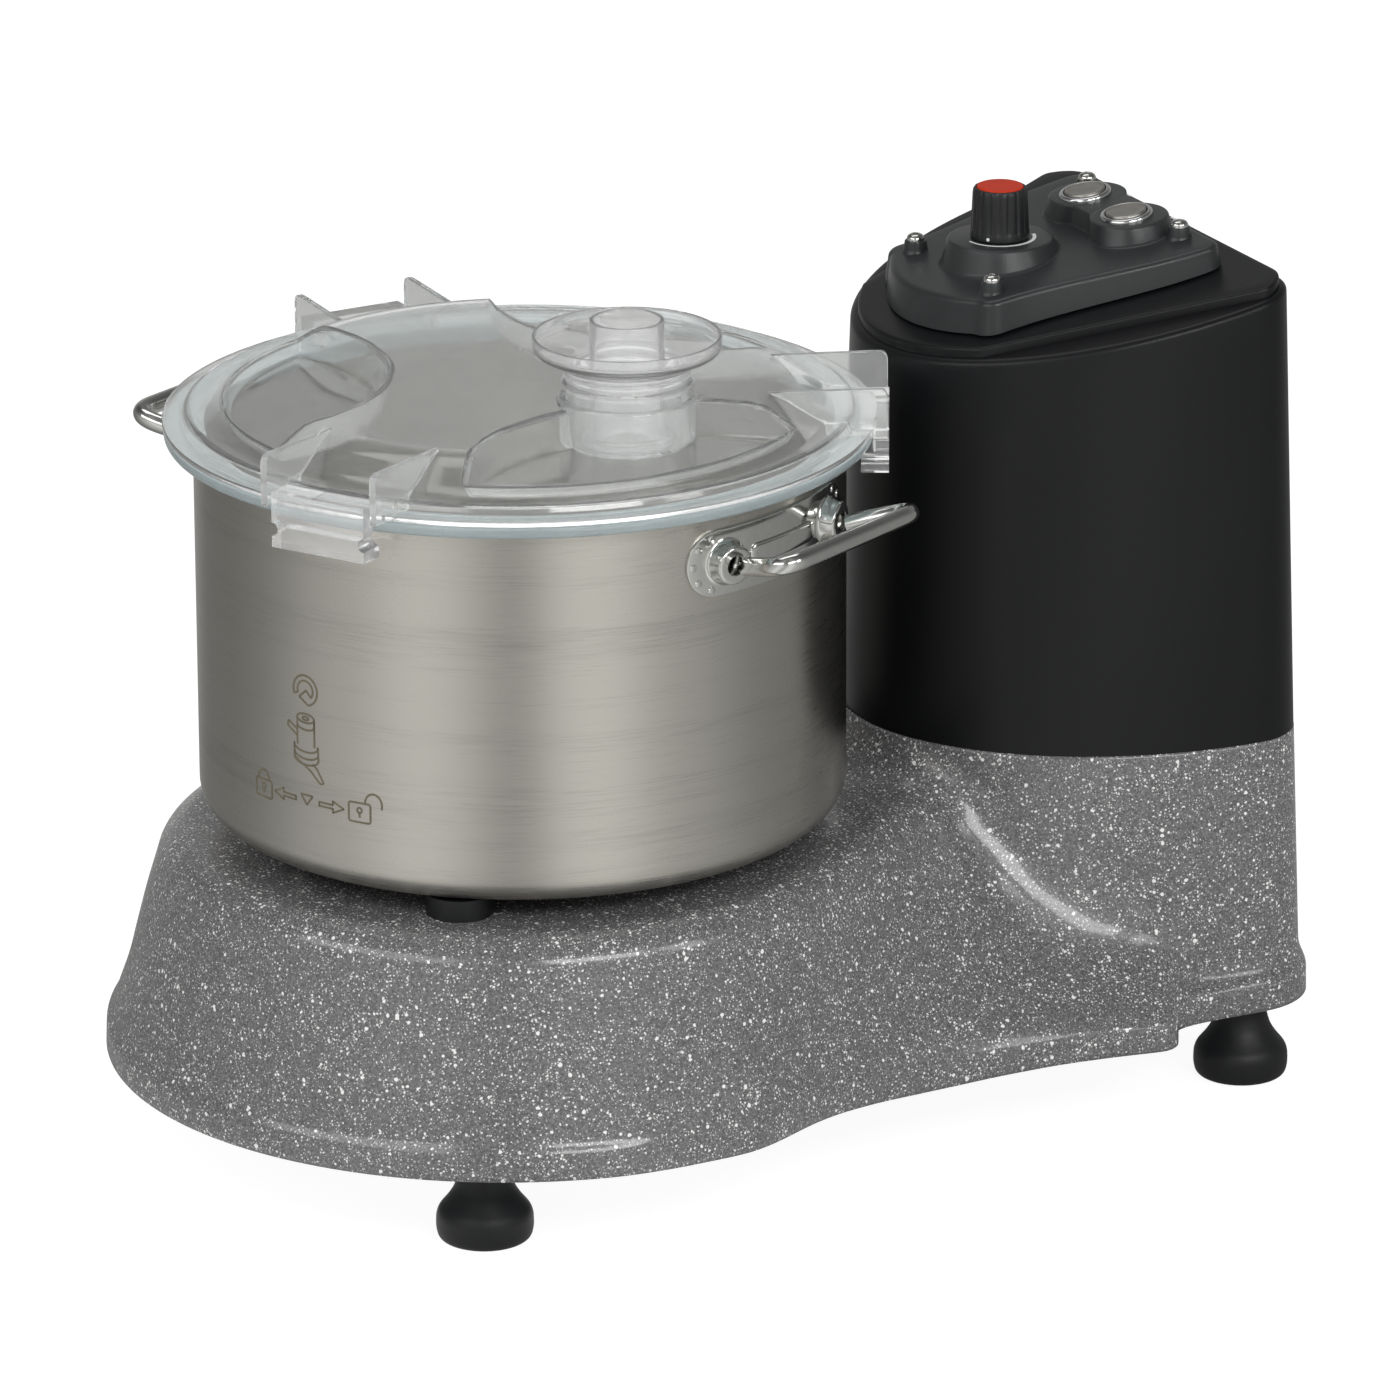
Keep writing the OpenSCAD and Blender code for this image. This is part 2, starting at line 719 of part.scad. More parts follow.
module control_panel() {
  color("#2c2c2e") at_bowl() difference() {
    union() {
      difference() {
        loft([
          to_top(panel_ring(0), -gasket_t),
          panel_level(panel_ring(panel_draft), panel_edge),
          panel_level(panel_ring(panel_draft + 0.3 * panel_edge), 0.3 * panel_edge),
          panel_level(panel_ring(panel_draft + panel_edge), 0)
        ]);
        loft([
          to_top(panel_ring(panel_wall), over),
          panel_level(panel_ring(panel_wall + panel_draft), panel_wall)
        ]);
      }
      translate([knob_x, 0, dial_base])
        cylinder(r1 = dial_r + dial_flare, r2 = dial_r, h = dial_z - dial_base);
      at_buttons() translate([0, 0, -panel_wall / 2])
        cylinder(r = button_boss_r, h = button_boss_h + panel_wall / 2);
      on_panel(button_x, 0) translate([-button_boss_r / 2, -button_half, -panel_wall / 2])
        cube([button_boss_r, 2 * button_half, button_boss_h + panel_wall / 2]);
      for (p = panel_screw_places) translate([p[0], p[1], cover_top(p[0]) + gasket_t])
        screw_pillar(panel_top(p[0]) + stub_h - cover_top(p[0]) - gasket_t, p[0]);
    }
    translate([knob_x, 0, dial_base - over]) cylinder(r = bushing_r + fit_gap, h = dial_z - dial_base + 2 * over);
    at_buttons() translate([0, 0, -barrel_depth]) cylinder(r = barrel_r + fit_gap, h = 2 * barrel_depth);
    for (p = panel_screw_places)
      translate([p[0], p[1], cover_top(p[0]) - over]) cylinder(r = screw_r + fit_gap, h = cover_h / 4);
  }
}

// Pillar round a panel screw, cut to the slope of the cover
module screw_pillar(h, x) {
  translate([0, 0, stub_r * tan(cover_slope)]) cylinder(r = stub_r, h = h - stub_r * tan(cover_slope));
}

module panel_screws() {
  color("#c9cbcb") at_bowl() for (p = panel_screw_places)
    translate([p[0], p[1], panel_top(p[0]) + stub_h]) {
      cylinder(r = screw_head_r, h = screw_head_h);
      length = panel_top(p[0]) + stub_h - cover_top(p[0]) + step_h;
      translate([0, 0, -length]) cylinder(r = screw_r, h = length);
    }
}

module potentiometer() {
  color("#3a5a7a") at_bowl() translate([knob_x, 0, dial_base - pot_h]) difference() {
    union() {
      cylinder(r = pot_r, h = pot_h);
      cylinder(r = bushing_r, h = pot_h + dial_z - dial_base);
    }
    translate([0, 0, pot_h / 2]) cylinder(r = pot_shaft_r + run_gap, h = pot_h + dial_z);
  }
}

module bezel() {
  difference() {
    union() {
      translate([0, 0, button_boss_h]) cylinder(r = bezel_r, h = bezel_h);
      translate([0, 0, -barrel_depth]) cylinder(r = barrel_r, h = barrel_depth + button_boss_h);
    }
    translate([0, 0, -barrel_depth - over])
      cylinder(r = button_r + clear, h = barrel_depth + button_boss_h + bezel_h + 2 * over);
  }
}

module button_cap() {
  translate([0, 0, -button_foot]) cylinder(r = button_r, h = button_foot + button_boss_h + bezel_h + button_up);
}

module button_spring() {
  translate([0, 0, -barrel_depth + clear])
    pipe(button_r - button_clip, button_r - 2 * button_clip, barrel_depth - button_foot - 2 * clear);
}

module start_bezel() {
  color("#c4c6c8") at_bowl() on_panel(button_x, -button_half) bezel();
}

module stop_bezel() {
  color("#c4c6c8") at_bowl() on_panel(button_x, button_half) bezel();
}

module start_button() {
  color("#8d8b87") at_bowl() on_panel(button_x, -button_half) button_cap();
}

module stop_button() {
  color("#8d8b87") at_bowl() on_panel(button_x, button_half) button_cap();
}

module start_spring() {
  color("#b9bbbb") at_bowl() on_panel(button_x, -button_half) button_spring();
}

module stop_spring() {
  color("#b9bbbb") at_bowl() on_panel(button_x, button_half) button_spring();
}

module contact_blocks() {
  color("#d8d4c4") at_bowl() at_buttons()
    translate([-contact_w / 2, -contact_w / 2, -barrel_depth - contact_h]) cube([contact_w, contact_w, contact_h]);
}

module motor_plate() {
  color("#8c8e90") at_bowl() difference() {
    loft([
      for (z = [motor_plate_z, parting_z - clear]) raise(column_ring(body_wall + clear + draft_at(z)), z)
    ]);
    translate([motor_x, 0, motor_plate_z - over]) cylinder(r = motor_r / 2, h = 2 * motor_plate_t);
    at_posts(motor_plate_z - over) cylinder(r = plate_bolt_r + fit_gap, h = 2 * motor_plate_t);
  }
}

module plate_bolts() {
  color("#b9bbbb") at_bowl() at_posts(parting_z - clear) {
    cylinder(r = plate_bolt_head_r, h = plate_bolt_head_h);
    translate([0, 0, over - plate_bolt_len]) cylinder(r = plate_bolt_r, h = plate_bolt_len - over);
  }
}

module bell(z, out) {
  translate([motor_x, 0, z]) difference() {
    cylinder(r = motor_r + out, h = bell_h);
    translate([0, 0, -over]) cylinder(r = motor_shaft_r + run_gap, h = bell_h + 2 * over);
  }
}

module motor_lower_bell() {
  color("#4a4d50") at_bowl() bell(motor_z, motor_wall / 2);
}

module motor_upper_bell() {
  color("#4a4d50") at_bowl() bell(motor_z + motor_len - bell_h, 0);
}

module motor_housing() {
  color("#50555a") at_bowl() translate([motor_x, 0, motor_z + bell_h])
    pipe(motor_r, motor_r - motor_wall, motor_len - 2 * bell_h);
}

module motor_shaft() {
  color("#b9bbbb") at_bowl() translate([motor_x, 0, pulley_z - shaft_tail])
    cylinder(r = motor_shaft_r, h = motor_z + motor_len + shaft_tail / 2 - pulley_z + shaft_tail);
}

module motor_rotor() {
  color("#8a6a4a") at_bowl() translate([motor_x, 0, motor_z + bell_h + rotor_gap])
    pipe(rotor_r, motor_shaft_r + fit_gap, motor_len - 2 * bell_h - 2 * rotor_gap);
}

// Flat-belt pulley with two flanges
module pulley(r, shaft) {
  translate([0, 0, pulley_z]) difference() {
    union() {
      cylinder(r = r, h = pulley_h);
      for (z = [0, pulley_h - pulley_flange_t]) translate([0, 0, z])
        cylinder(r = r + pulley_flange, h = pulley_flange_t);
    }
    translate([0, 0, -over]) cylinder(r = shaft + fit_gap, h = pulley_h + 2 * over);
  }
}

module motor_pulley() {
  color("#a8aaac") at_bowl() translate([motor_x, 0, 0]) pulley(motor_pulley_r, motor_shaft_r);
}

module spindle_pulley() {
  color("#a8aaac") at_bowl() pulley(spindle_pulley_r, spindle_r);
}

// Outline of a belt round both pulleys, d away from them
module belt_outline(d) {
  n = 32;
  lean = asin((spindle_pulley_r - motor_pulley_r) / motor_x);
  near = 90 - lean;
  polygon(concat(
    [for (i = [0:n]) let (a = near + (360 - 2 * near) * i / n) (spindle_pulley_r + d) * [cos(a), sin(a)]],
    [for (i = [0:n]) let (a = 2 * near * i / n - near) [motor_x + (motor_pulley_r + d) * cos(a), (motor_pulley_r + d) * sin(a)]]
  ));
}

module drive_belt() {
  color("#1b1b1b") at_bowl() translate([0, 0, pulley_z + pulley_flange_t + over]) linear_extrude(belt_w)
    difference() {
      belt_outline(clear + belt_t);
      belt_outline(clear);
    }
}

module at_housing_screws(rise) {
  for (a = [45:90:315]) rotate([0, 0, a])
    translate([(housing_r + housing_flange_r) / 2, 0, rise]) children();
}

module bearing_housing() {
  color("#85888a") at_bowl() difference() {
    union() {
      translate([0, 0, lower_bearing_z - housing_wall])
        cylinder(r = housing_r, h = platform_z - body_wall - lower_bearing_z + housing_wall);
      translate([0, 0, platform_z - body_wall - housing_flange_t])
        cylinder(r = housing_flange_r, h = housing_flange_t);
      cylinder_between(neck_housing_r, platform_z - body_wall, housing_top);
    }
    cylinder_between(spindle_r + housing_wall, lower_bearing_z - 2 * housing_wall, housing_top + over);
    cylinder_between(bearing_r + fit_gap, lower_bearing_z, upper_bearing_z + bearing_w);
    cylinder_between(seal_r + fit_gap, housing_top - bearing_w / 2, housing_top + over);
    at_housing_screws(platform_z - body_wall - housing_flange_t - over)
      cylinder(r = plate_screw_r + fit_gap, h = housing_flange_t + 2 * over);
  }
}

module cylinder_between(r, z0, z1) {
  translate([0, 0, z0]) cylinder(r = r, h = z1 - z0);
}

module housing_screws() {
  color("#b9bbbb") at_bowl() at_housing_screws(platform_z - body_wall - housing_flange_t) {
    translate([0, 0, -plate_screw_head_h]) cylinder(r = plate_screw_head_r, h = plate_screw_head_h);
    cylinder(r = plate_screw_r, h = housing_flange_t + body_wall - 1.5 * over);
  }
}

module spindle_bearings() {
  color("#c9cbcb") at_bowl() for (z = [lower_bearing_z, upper_bearing_z]) translate([0, 0, z])
    pipe(bearing_r, spindle_r + run_gap, bearing_w);
}

module shaft_seal() {
  color("#5a2a20") at_bowl() translate([0, 0, housing_top - bearing_w / 2])
    pipe(seal_r, spindle_r + run_gap, bearing_w / 2);
}

module spindle_shaft() {
  color("#b9bbbb") at_bowl() cylinder_between(spindle_r, pulley_z - shaft_tail, hub_top + hub_cap / 2);
}

module blade_hub() {
  color("#d8d8d4") at_bowl() difference() {
    union() {
      cylinder_between(hub_r, hub_z, hub_top);
      cylinder_between(hub_r + hub_flange, hub_z, hub_z + hub_flange_t);
      translate([0, 0, hub_top]) cylinder(r1 = hub_r, r2 = hub_r / 2, h = hub_cap);
    }
    cylinder_between(tube_r + hub_gap, hub_z - over, bowl_z + tube_h + 2 * hub_gap);
    cylinder_between(spindle_r + fit_gap, hub_z, hub_top + hub_cap / 2);
  }
}

// Two sickle blades on one ring
module blade() {
  reach = blade_len / 2;
  sag = blade_sweep_share * blade_len;
  linear_extrude(blade_t) difference() {
    union() {
      circle(r = hub_r + blade_ring);
      for (a = [0, 180]) rotate(a) difference() {
        translate([reach, 0]) circle(r = reach);
        translate([reach, -sag]) circle(r = norm([reach, sag]));
      }
    }
    circle(r = hub_r + fit_gap);
  }
}

module lower_blade() {
  color("#c2c4c4") at_bowl() translate([0, 0, blade_z]) rotate([0, 0, 20]) blade();
}

module upper_blade() {
  color("#c2c4c4") at_bowl() translate([0, 0, upper_blade_z]) rotate([0, 0, 110]) blade();
}

module blade_spacer() {
  color("#d8d8d4") at_bowl() translate([0, 0, blade_z + blade_t])
    pipe(hub_r + blade_ring - over, hub_r + fit_gap, blade_pitch);
}

module blade_nut() {
  color("#a9abab") at_bowl() translate([0, 0, upper_blade_z + blade_t])
    pipe(hub_r + blade_ring, hub_r + fit_gap, blade_nut_h);
}

// The board stands on the base plate in front of the spindle
module inverter_board() {
  color("#2d6a3c") at_bowl() translate([-board_fore, -board_size[1] / 2, plate_top + standoff_h]) {
    cube(board_size);
    translate([board_size[0] / 2, board_size[1] / 3, board_size[2]]) cube([board_size[0] / 3, board_size[1] / 3, standoff_h * 2]);
  }
}

module board_standoffs() {
  color("#c8b070") at_bowl() for (x = [standoff_r, board_size[0] - standoff_r], s = [-1, 1])
    translate([x - board_fore, s * (board_size[1] / 2 - standoff_r), plate_top]) cylinder(r = standoff_r, h = standoff_h);
}

module terminal_block() {
  color("#d8d4c4") at_bowl()
    translate([motor_x - block_size[0] / 2, -block_size[1] - motor_pulley_r - 2 * pulley_flange - belt_t, plate_top]) cube(block_size);
}

module reed_switch() {
  color("#e8e6e0") at_bowl()
    translate([-bowl_r + magnet_in - switch_size[0] / 2, -switch_size[1] / 2, platform_z - body_wall - switch_size[2]])
      cube(switch_size);
}

module bowl_magnet() {
  color("#55585a") at_bowl() translate([magnet_in - bowl_r, 0, bowl_z - magnet_h])
    cylinder(r = magnet_r, h = magnet_h);
}

module at_gland() {
  translate([base_rear, 0, gland_z]) rotate([0, 90, 0]) children();
}

module cable_gland() {
  color("#1d1d1f") at_bowl() at_gland() difference() {
    union() {
      translate([0, 0, -gland_seat]) cylinder(r = gland_r, h = gland_seat + gland_out, $fn = hex_sides);
      translate([0, 0, -wall_out - body_wall - gland_tail]) 
        cylinder(r = gland_thread_r, h = body_wall + gland_tail + wall_out - gland_seat + over);
    }
    translate([0, 0, -base_rear / 2]) cylinder(r = gland_bore_r, h = base_rear);
  }
}

module gland_nut() {
  color("#2a2a2c") at_bowl() at_gland() {
    translate([0, 0, -wall_out - body_wall - gland_nut_t]) difference() {
      cylinder(r = gland_r, h = gland_nut_t - 2 * clear, $fn = hex_sides);
      translate([0, 0, -over]) cylinder(r = gland_thread_r + fit_gap, h = gland_nut_t + 2 * over);
    }
  }
}

module bowl() {
  color("#a3a29a") at_bowl() difference() {
    bowl_solid(0);
    bowl_solid(bowl_wall);
    translate([0, 0, bowl_z - over]) cylinder(r = tube_r + fit_gap, h = bowl_wall + 2 * over);
  }
}

// The bowl's outer form, made smaller by d
module bowl_solid(d) {
  rotate_extrude() difference() {
    union() {
      translate([0, bowl_z + bowl_bend]) square([bowl_r - d, bowl_h - bowl_bend + d]);
      translate([0, bowl_z + d]) square([bowl_r - bowl_bend, bowl_bend]);
      translate([bowl_r - bowl_bend, bowl_z + bowl_bend]) circle(r = bowl_bend - d);
    }
    translate([-2 * bowl_bend, bowl_z - bowl_bend]) square([2 * bowl_bend, bowl_h + 2 * bowl_bend]);
  }
}

module bowl_tube() {
  color("#a3a29a") at_bowl() translate([0, 0, bowl_z]) pipe(tube_r, tube_r - tube_wall, tube_h);
}

module handle_plates() {
  color("#c4c5c2") at_bowl() for (a = [0, 180]) rotate([0, 0, handle_turn + a]) difference() {
    union() {
      rotate([0, 0, -weld_angle]) translate([0, 0, handle_z - weld_h / 2])
        rotate_extrude(angle = 2 * weld_angle) translate([bowl_r + run_gap, 0]) square([weld_t, weld_h]);
      for (s = [-1, 1]) translate([0, s * boss_side, handle_z]) rotate([0, 90, 0])
        cylinder(r = boss_r, h = boss_face);
    }
    cylinder_between(bowl_r + run_gap, handle_z - weld_h, handle_z + weld_h);
  }
}

module handle_rod() {
  tip = boss_face + fit_gap;
  out = bowl_r + handle_reach;
  z1 = handle_z + handle_rise;
  foot = [tip, boss_side, handle_z];
  knee = [tip + rod_r, boss_side, handle_z];
  elbow = [out, handle_half, z1];
  lean = (elbow - knee) / norm(elbow - knee);
  half = concat(
    [foot, knee],
    bend(elbow - bar_bend * lean, elbow, elbow - [0, bar_bend, 0], 5)
  );
  rod(concat(half, [for (i = [len(half) - 1:-1:0]) [half[i][0], -half[i][1], half[i][2]]]), rod_r, 12);
}

module front_handle() {
  color("#d2d3d0") at_bowl() rotate([0, 0, handle_turn]) handle_rod();
}

module rear_handle() {
  color("#d2d3d0") at_bowl() rotate([0, 0, handle_turn + 180]) handle_rod();
}

module window_outline(a, d) {
  intersection() {
    circle(r = window_outer_r - d);
    rotate(a) translate([window_out, 0]) circle(r = window_r - d);
  }
}

// Outer form of the lid down to a height
module lid_form(d, z0) {
  rotate_extrude() polygon([
    [0, z0], [flange_r - d, z0], [flange_r - d, flange_z - d], [rib_r, flange_z - d],
    [rib_r, flange_z + rib_h - d], [cone_r, flange_z + rib_h - d], [star_r, star_z - d], [0, star_z - d]
  ]);
}

module lid() {
  color("#cfd6d6", 0.45) at_bowl() difference() {
    union() {
      difference() {
        lid_form(0, lid_z);
        lid_hollow();
        for (a = stations) translate([0, 0, lid_z - over])
          linear_extrude(star_h + 4 * lid_wall) window_outline(a + window_turn, 0);
      }
      for (a = stations) intersection() {
        lid_form(0, lid_z);
        difference() {
          translate([0, 0, lid_z]) linear_extrude(star_h + 4 * lid_wall) window_outline(a + window_turn, 0);
          translate([0, 0, lid_z + lid_wall]) linear_extrude(star_h + 4 * lid_wall)
            window_outline(a + window_turn, lid_wall);
        }
      }
      for (a = stations, s = [-1, 1]) rotate([0, 0, a + station_turn])
        translate([0, s * fin_gap / 2 + lid_wall / 2, 0]) rotate([90, 0, 0]) linear_extrude(lid_wall) polygon([
          [star_r - lid_wall, star_z - lid_wall], [cone_r - lid_wall, flange_z + rib_h - lid_wall],
          [cone_r - lid_wall, lid_z], [clip_r, lid_z], [clip_r, star_z], [star_r - lid_wall, star_z]
        ]);
      translate([funnel_x, funnel_y, lid_z]) cylinder(r = collar_r, h = star_h + lid_wall / 2);
    }
    translate([funnel_x, funnel_y, lid_z - over]) cylinder(r = neck_r + fit_gap, h = star_h + 4 * lid_wall);
  }
}

module lid_hollow() {
  rotate_extrude() polygon([
    [0, lid_z - over], [cone_r - lid_wall, lid_z - over], [cone_r - lid_wall, flange_z + rib_h - lid_wall],
    [star_r - lid_wall, star_z - lid_wall], [0, star_z - lid_wall]
  ]);
}

module lid_seal() {
  color("#c3d3da", 0.8) at_bowl() rotate_extrude() difference() {
    translate([bowl_r - seal_in, lid_z - seal_h]) square([lid_over + seal_in, seal_h]);
    translate([bowl_r - bowl_wall - clear, lid_z - seal_h - over])
      square([bowl_wall + 2 * clear, seal_h - rim_rise + clear + over]);
  }
}

module lid_clips() {
  color("#cfd6d6", 0.5) at_bowl() for (a = stations) rotate([0, 0, a + station_turn]) difference() {
    translate([flange_r - clip_grip, -clip_w / 2, flange_z + rib_h - clip_h]) cube([clip_grip + clip_out, clip_w, clip_h]);
    cylinder_between(flange_r + fit_gap, lid_z - seal_h - clear, flange_z + fit_gap);
    for (s = [-1, 1]) translate([flange_r - clip_grip - over, s * clip_w / 2, flange_z - clip_h / 2])
      rotate([0, 90, 0]) cylinder(r = clip_h / 8, h = clip_grip + clip_out + 2 * over);
  }
}

module feed_funnel() {
  rim = star_z + dish_h;
  throat = neck_r - lid_wall;
  color("#d5dada", 0.45) at_bowl() translate([funnel_x, funnel_y, 0]) rotate_extrude() polygon([
    [feed_r + clear, lid_z], [neck_r, lid_z], [neck_r, star_z + fit_gap], [neck_r + rib_h / 2, star_z + fit_gap],
    [neck_r + rib_h / 2, star_z + lid_wall], [neck_r, star_z + lid_wall], [neck_r, rim - 2 * lip_up],
    [dish_r, rim - lip_up], [dish_r, rim], [dish_r - lid_wall / 2, rim], [dish_r - lid_wall / 2, rim - lip_up + lid_wall / 2],
    [throat, rim - 2 * lip_up + lid_wall / 2], [throat, lid_z + lid_wall], [feed_r + clear, lid_z + lid_wall]
  ]);
}

module feed_tube() {
  top = star_z + dish_h + feed_up;
  hole = feed_r - lid_wall + over;
  color("#d5dada", 0.45) at_bowl() translate([funnel_x, funnel_y, 0]) rotate_extrude() polygon([
    [hole, lid_z - lid_wall], [feed_r, lid_z - lid_wall], [feed_r, funnel_floor + clear],
    [feed_r + lid_wall, funnel_floor + clear], [feed_r + lid_wall, funnel_floor + lid_wall],
    [feed_r, funnel_floor + lid_wall], [feed_r, top], [hole, top]
  ]);
}

module knob_shaft() {
  color("#b9bbbb") at_bowl() translate([knob_x, 0, dial_base - pot_h / 2 + run_gap])
    cylinder(r = pot_shaft_r, h = knob_z + knob_h / 2 - dial_base + pot_h / 2 - run_gap);
}

module speed_knob() {
  color("#232325") at_bowl() translate([knob_x, 0, knob_z]) difference() {
    cylinder(r1 = knob_r, r2 = knob_r - over, h = knob_h - knob_cap_t / 2);
    translate([0, 0, -over]) cylinder(r = pot_shaft_r + fit_gap, h = knob_h / 2 + over);
    translate([0, 0, knob_h - knob_cap_t]) cylinder(r = knob_cap_r + fit_gap, h = knob_cap_t);
  }
}

module knob_cap() {
  color("#a83a1f") at_bowl() translate([knob_x, 0, knob_z + knob_h - knob_cap_t])
    cylinder(r = knob_cap_r, h = knob_cap_t);
}

base_body();
base_plate();
plate_screws();
feet();
foot_bolts();
bowl_pads();
motor_cover();
panel_gasket();
control_panel();
panel_screws();
potentiometer();
start_bezel();
stop_bezel();
contact_blocks();
start_spring();
stop_spring();
motor_plate();
plate_bolts();
motor_housing();
motor_lower_bell();
motor_upper_bell();
bearing_housing();
housing_screws();
spindle_bearings();
shaft_seal();
drive_belt();
inverter_board();
board_standoffs();
terminal_block();
reed_switch();
cable_gland();
gland_nut();
motor_shaft();
motor_rotor();
motor_pulley();
spindle_shaft();
spindle_pulley();
blade_hub();
lower_blade();
upper_blade();
blade_spacer();
blade_nut();
bowl();
bowl_tube();
handle_plates();
front_handle();
rear_handle();
bowl_magnet();
lid();
lid_seal();
lid_clips();
feed_funnel();
feed_tube();
knob_shaft();
speed_knob();
knob_cap();
start_button();
stop_button();
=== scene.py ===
"""Looks of a table-top vegetable cutting machine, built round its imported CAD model.

Shapes are worked out in millimetres with the bowl's axis at x = 0 and y = 0, and moved to the frame when a mesh is made.
"""

import math

import bmesh
import bpy
import numpy as np
from bpy.props import FloatProperty, FloatVectorProperty, IntProperty, PointerProperty, StringProperty
from mathutils import Matrix, Vector


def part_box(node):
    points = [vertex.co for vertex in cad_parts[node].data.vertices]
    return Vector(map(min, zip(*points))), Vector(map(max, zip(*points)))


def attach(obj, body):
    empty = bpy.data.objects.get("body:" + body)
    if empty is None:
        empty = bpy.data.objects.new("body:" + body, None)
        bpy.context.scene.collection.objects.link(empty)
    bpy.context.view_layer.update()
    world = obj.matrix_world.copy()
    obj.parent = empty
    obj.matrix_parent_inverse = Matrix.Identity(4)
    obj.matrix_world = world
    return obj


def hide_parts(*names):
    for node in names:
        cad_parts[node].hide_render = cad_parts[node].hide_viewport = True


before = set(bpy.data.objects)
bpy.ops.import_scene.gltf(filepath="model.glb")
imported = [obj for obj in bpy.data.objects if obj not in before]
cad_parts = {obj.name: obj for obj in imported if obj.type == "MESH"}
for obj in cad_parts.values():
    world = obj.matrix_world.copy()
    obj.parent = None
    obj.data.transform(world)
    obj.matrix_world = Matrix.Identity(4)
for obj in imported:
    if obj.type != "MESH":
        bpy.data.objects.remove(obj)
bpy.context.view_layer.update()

bl_info = {
    "name": "Vegetable Cutting Machine",
    "version": (1, 0, 0),
    "blender": (4, 5, 0),
    "location": "3D View > Sidebar > Cutter",
    "description": "Builds the shells, bowl, lid, controls and finishes of a table-top vegetable cutting machine",
    "category": "Object",
}

MM = 0.001
AXIS_X = sum(corner.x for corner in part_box("bowl_tube")) / 2 / MM

# Heights and radii that the CAD model fixes, in millimetres.
TABLE_GAP = 35.0
PLATFORM = 133.6
BOWL_FLOOR = 143.0
RIM = 307.0
STAR = 328.4
PARTING = 153.0
BOWL_R = 135.0
COLUMN_X = 293.4
COLUMN_TIP = 158.4
COLUMN_HALF = 107.0
COLUMN_CORNER = 28.0
DRAFT = math.tan(math.radians(2))
PANEL_X = 180.0
KNOB_X = 225.0
BUTTON_X = 277.0
BUTTON_HALF = 18.0
DIAL_Z = 356.212
FUNNEL = (24.0892, -51.6595)
DRUM_X = -5.0
LIP_R = 172.0
LIP_TOP = 48.0
DRUM_TOP_R = 148.5
SIDE_LEAN = math.radians(34.5)
SKIRT_HALF = 115.5
SKIRT_END = 324.5
SKIRT_CORNER = 32.0
COVER_H = 168.0
COVER_SLOPE = math.tan(math.radians(11.3))
COVER_STEP = 4.2
COVER_EDGE = 3.0
PANEL_LONG = 120.0
PANEL_FRONT_H = 15.5
PANEL_REAR_H = 10.5
BUTTON_LEAN = math.radians(8.98707)
HANDLE_Z = 282.0
HANDLE_HALF = 34.0
WINDOW_R = 90.0
WINDOW_OUT = 145.0
WINDOW_RIM = 122.0
STATIONS = (-28.0, 92.0, 212.0)
WINDOWS = (32.0, 152.0, 272.0)
HANDLES = (-64.0, 116.0)
# Points closer than this are one point.
WELD = 0.004


# ---------------------------------------------------------------- colours and shader nodes


def paint(code):
    """The linear colour of an sRGB hex code, as four numbers."""
    channels = [int(code[i : i + 2], 16) / 255 for i in (1, 3, 5)]
    return tuple(c / 12.92 if c <= 0.04045 else ((c + 0.055) / 1.055) ** 2.4 for c in channels) + (1.0,)


def add(tree, kind, inputs=None, stops=None, **settings):
    """Adds a node with its settings, and gives its inputs a constant or a link from another node's output."""
    new = tree.nodes.new(kind)
    for name, value in settings.items():
        setattr(new, name, value)
    for place, value in (inputs or {}).items():
        if isinstance(value, bpy.types.NodeSocket):
            tree.links.new(value, new.inputs[place])
        else:
            new.inputs[place].default_value = value
    if stops:
        ramp = new.color_ramp
        while len(ramp.elements) < len(stops):
            ramp.elements.new(1.0)
        for element, (position, colour) in zip(ramp.elements, stops):
            element.position, element.color = position, colour
    return new


def start_material(name):
    """An empty material, its node tree, its Principled shader and the piece's own coordinates."""
    made = bpy.data.materials.new(name)
    made.use_nodes = True
    tree = made.node_tree
    tree.nodes.clear()
    shader = add(tree, "ShaderNodeBsdfPrincipled")
    add(tree, "ShaderNodeOutputMaterial", {"Surface": shader.outputs[0]})
    place = add(tree, "ShaderNodeTexCoord").outputs["Object"]
    return made, tree, shader, place


def fill(tree, shader, **sockets):
    """Sets or links the shader's sockets, whose names have _ for a space."""
    for name, value in sockets.items():
        socket = shader.inputs[name.replace("_", " ")]
        if isinstance(value, bpy.types.NodeSocket):
            tree.links.new(value, socket)
        else:
            socket.default_value = value


def maths(tree, operation, first, second=0.0):
    """The result of one sum."""
    return add(tree, "ShaderNodeMath", {0: first, 1: second}, operation=operation).outputs[0]


def noise(tree, place, size, detail=2.0, **sockets):
    """Noise with grains size mm across."""
    return add(tree, "ShaderNodeTexNoise", {"Vector": place, "Scale": 1000 / size, "Detail": detail, **sockets}).outputs[0]


def rescaled(tree, value, low, high, first, last, **settings):
    """The value carried from low..high to first..last."""
    ends = {"From Min": low, "From Max": high, "To Min": first, "To Max": last}
    return add(tree, "ShaderNodeMapRange", {"Value": value, **ends}, **settings).outputs[0]


def shaded(tree, value, low, high, colour, darker, lighter):
    """The colour times darker where the value is low, going over to the colour times lighter where it is high."""
    ends = [tuple(min(c * share, 1.0) for c in paint(colour)[:3]) + (1.0,) for share in (darker, lighter)]
    return add(tree, "ShaderNodeValToRGB", {0: value}, stops=list(zip((low, high), ends))).outputs[0]


def bumped(tree, height, strength, depth):
    """A bump of that depth in mm."""
    return add(tree, "ShaderNodeBump", {"Height": height, "Strength": strength, "Distance": depth * MM}).outputs[0]


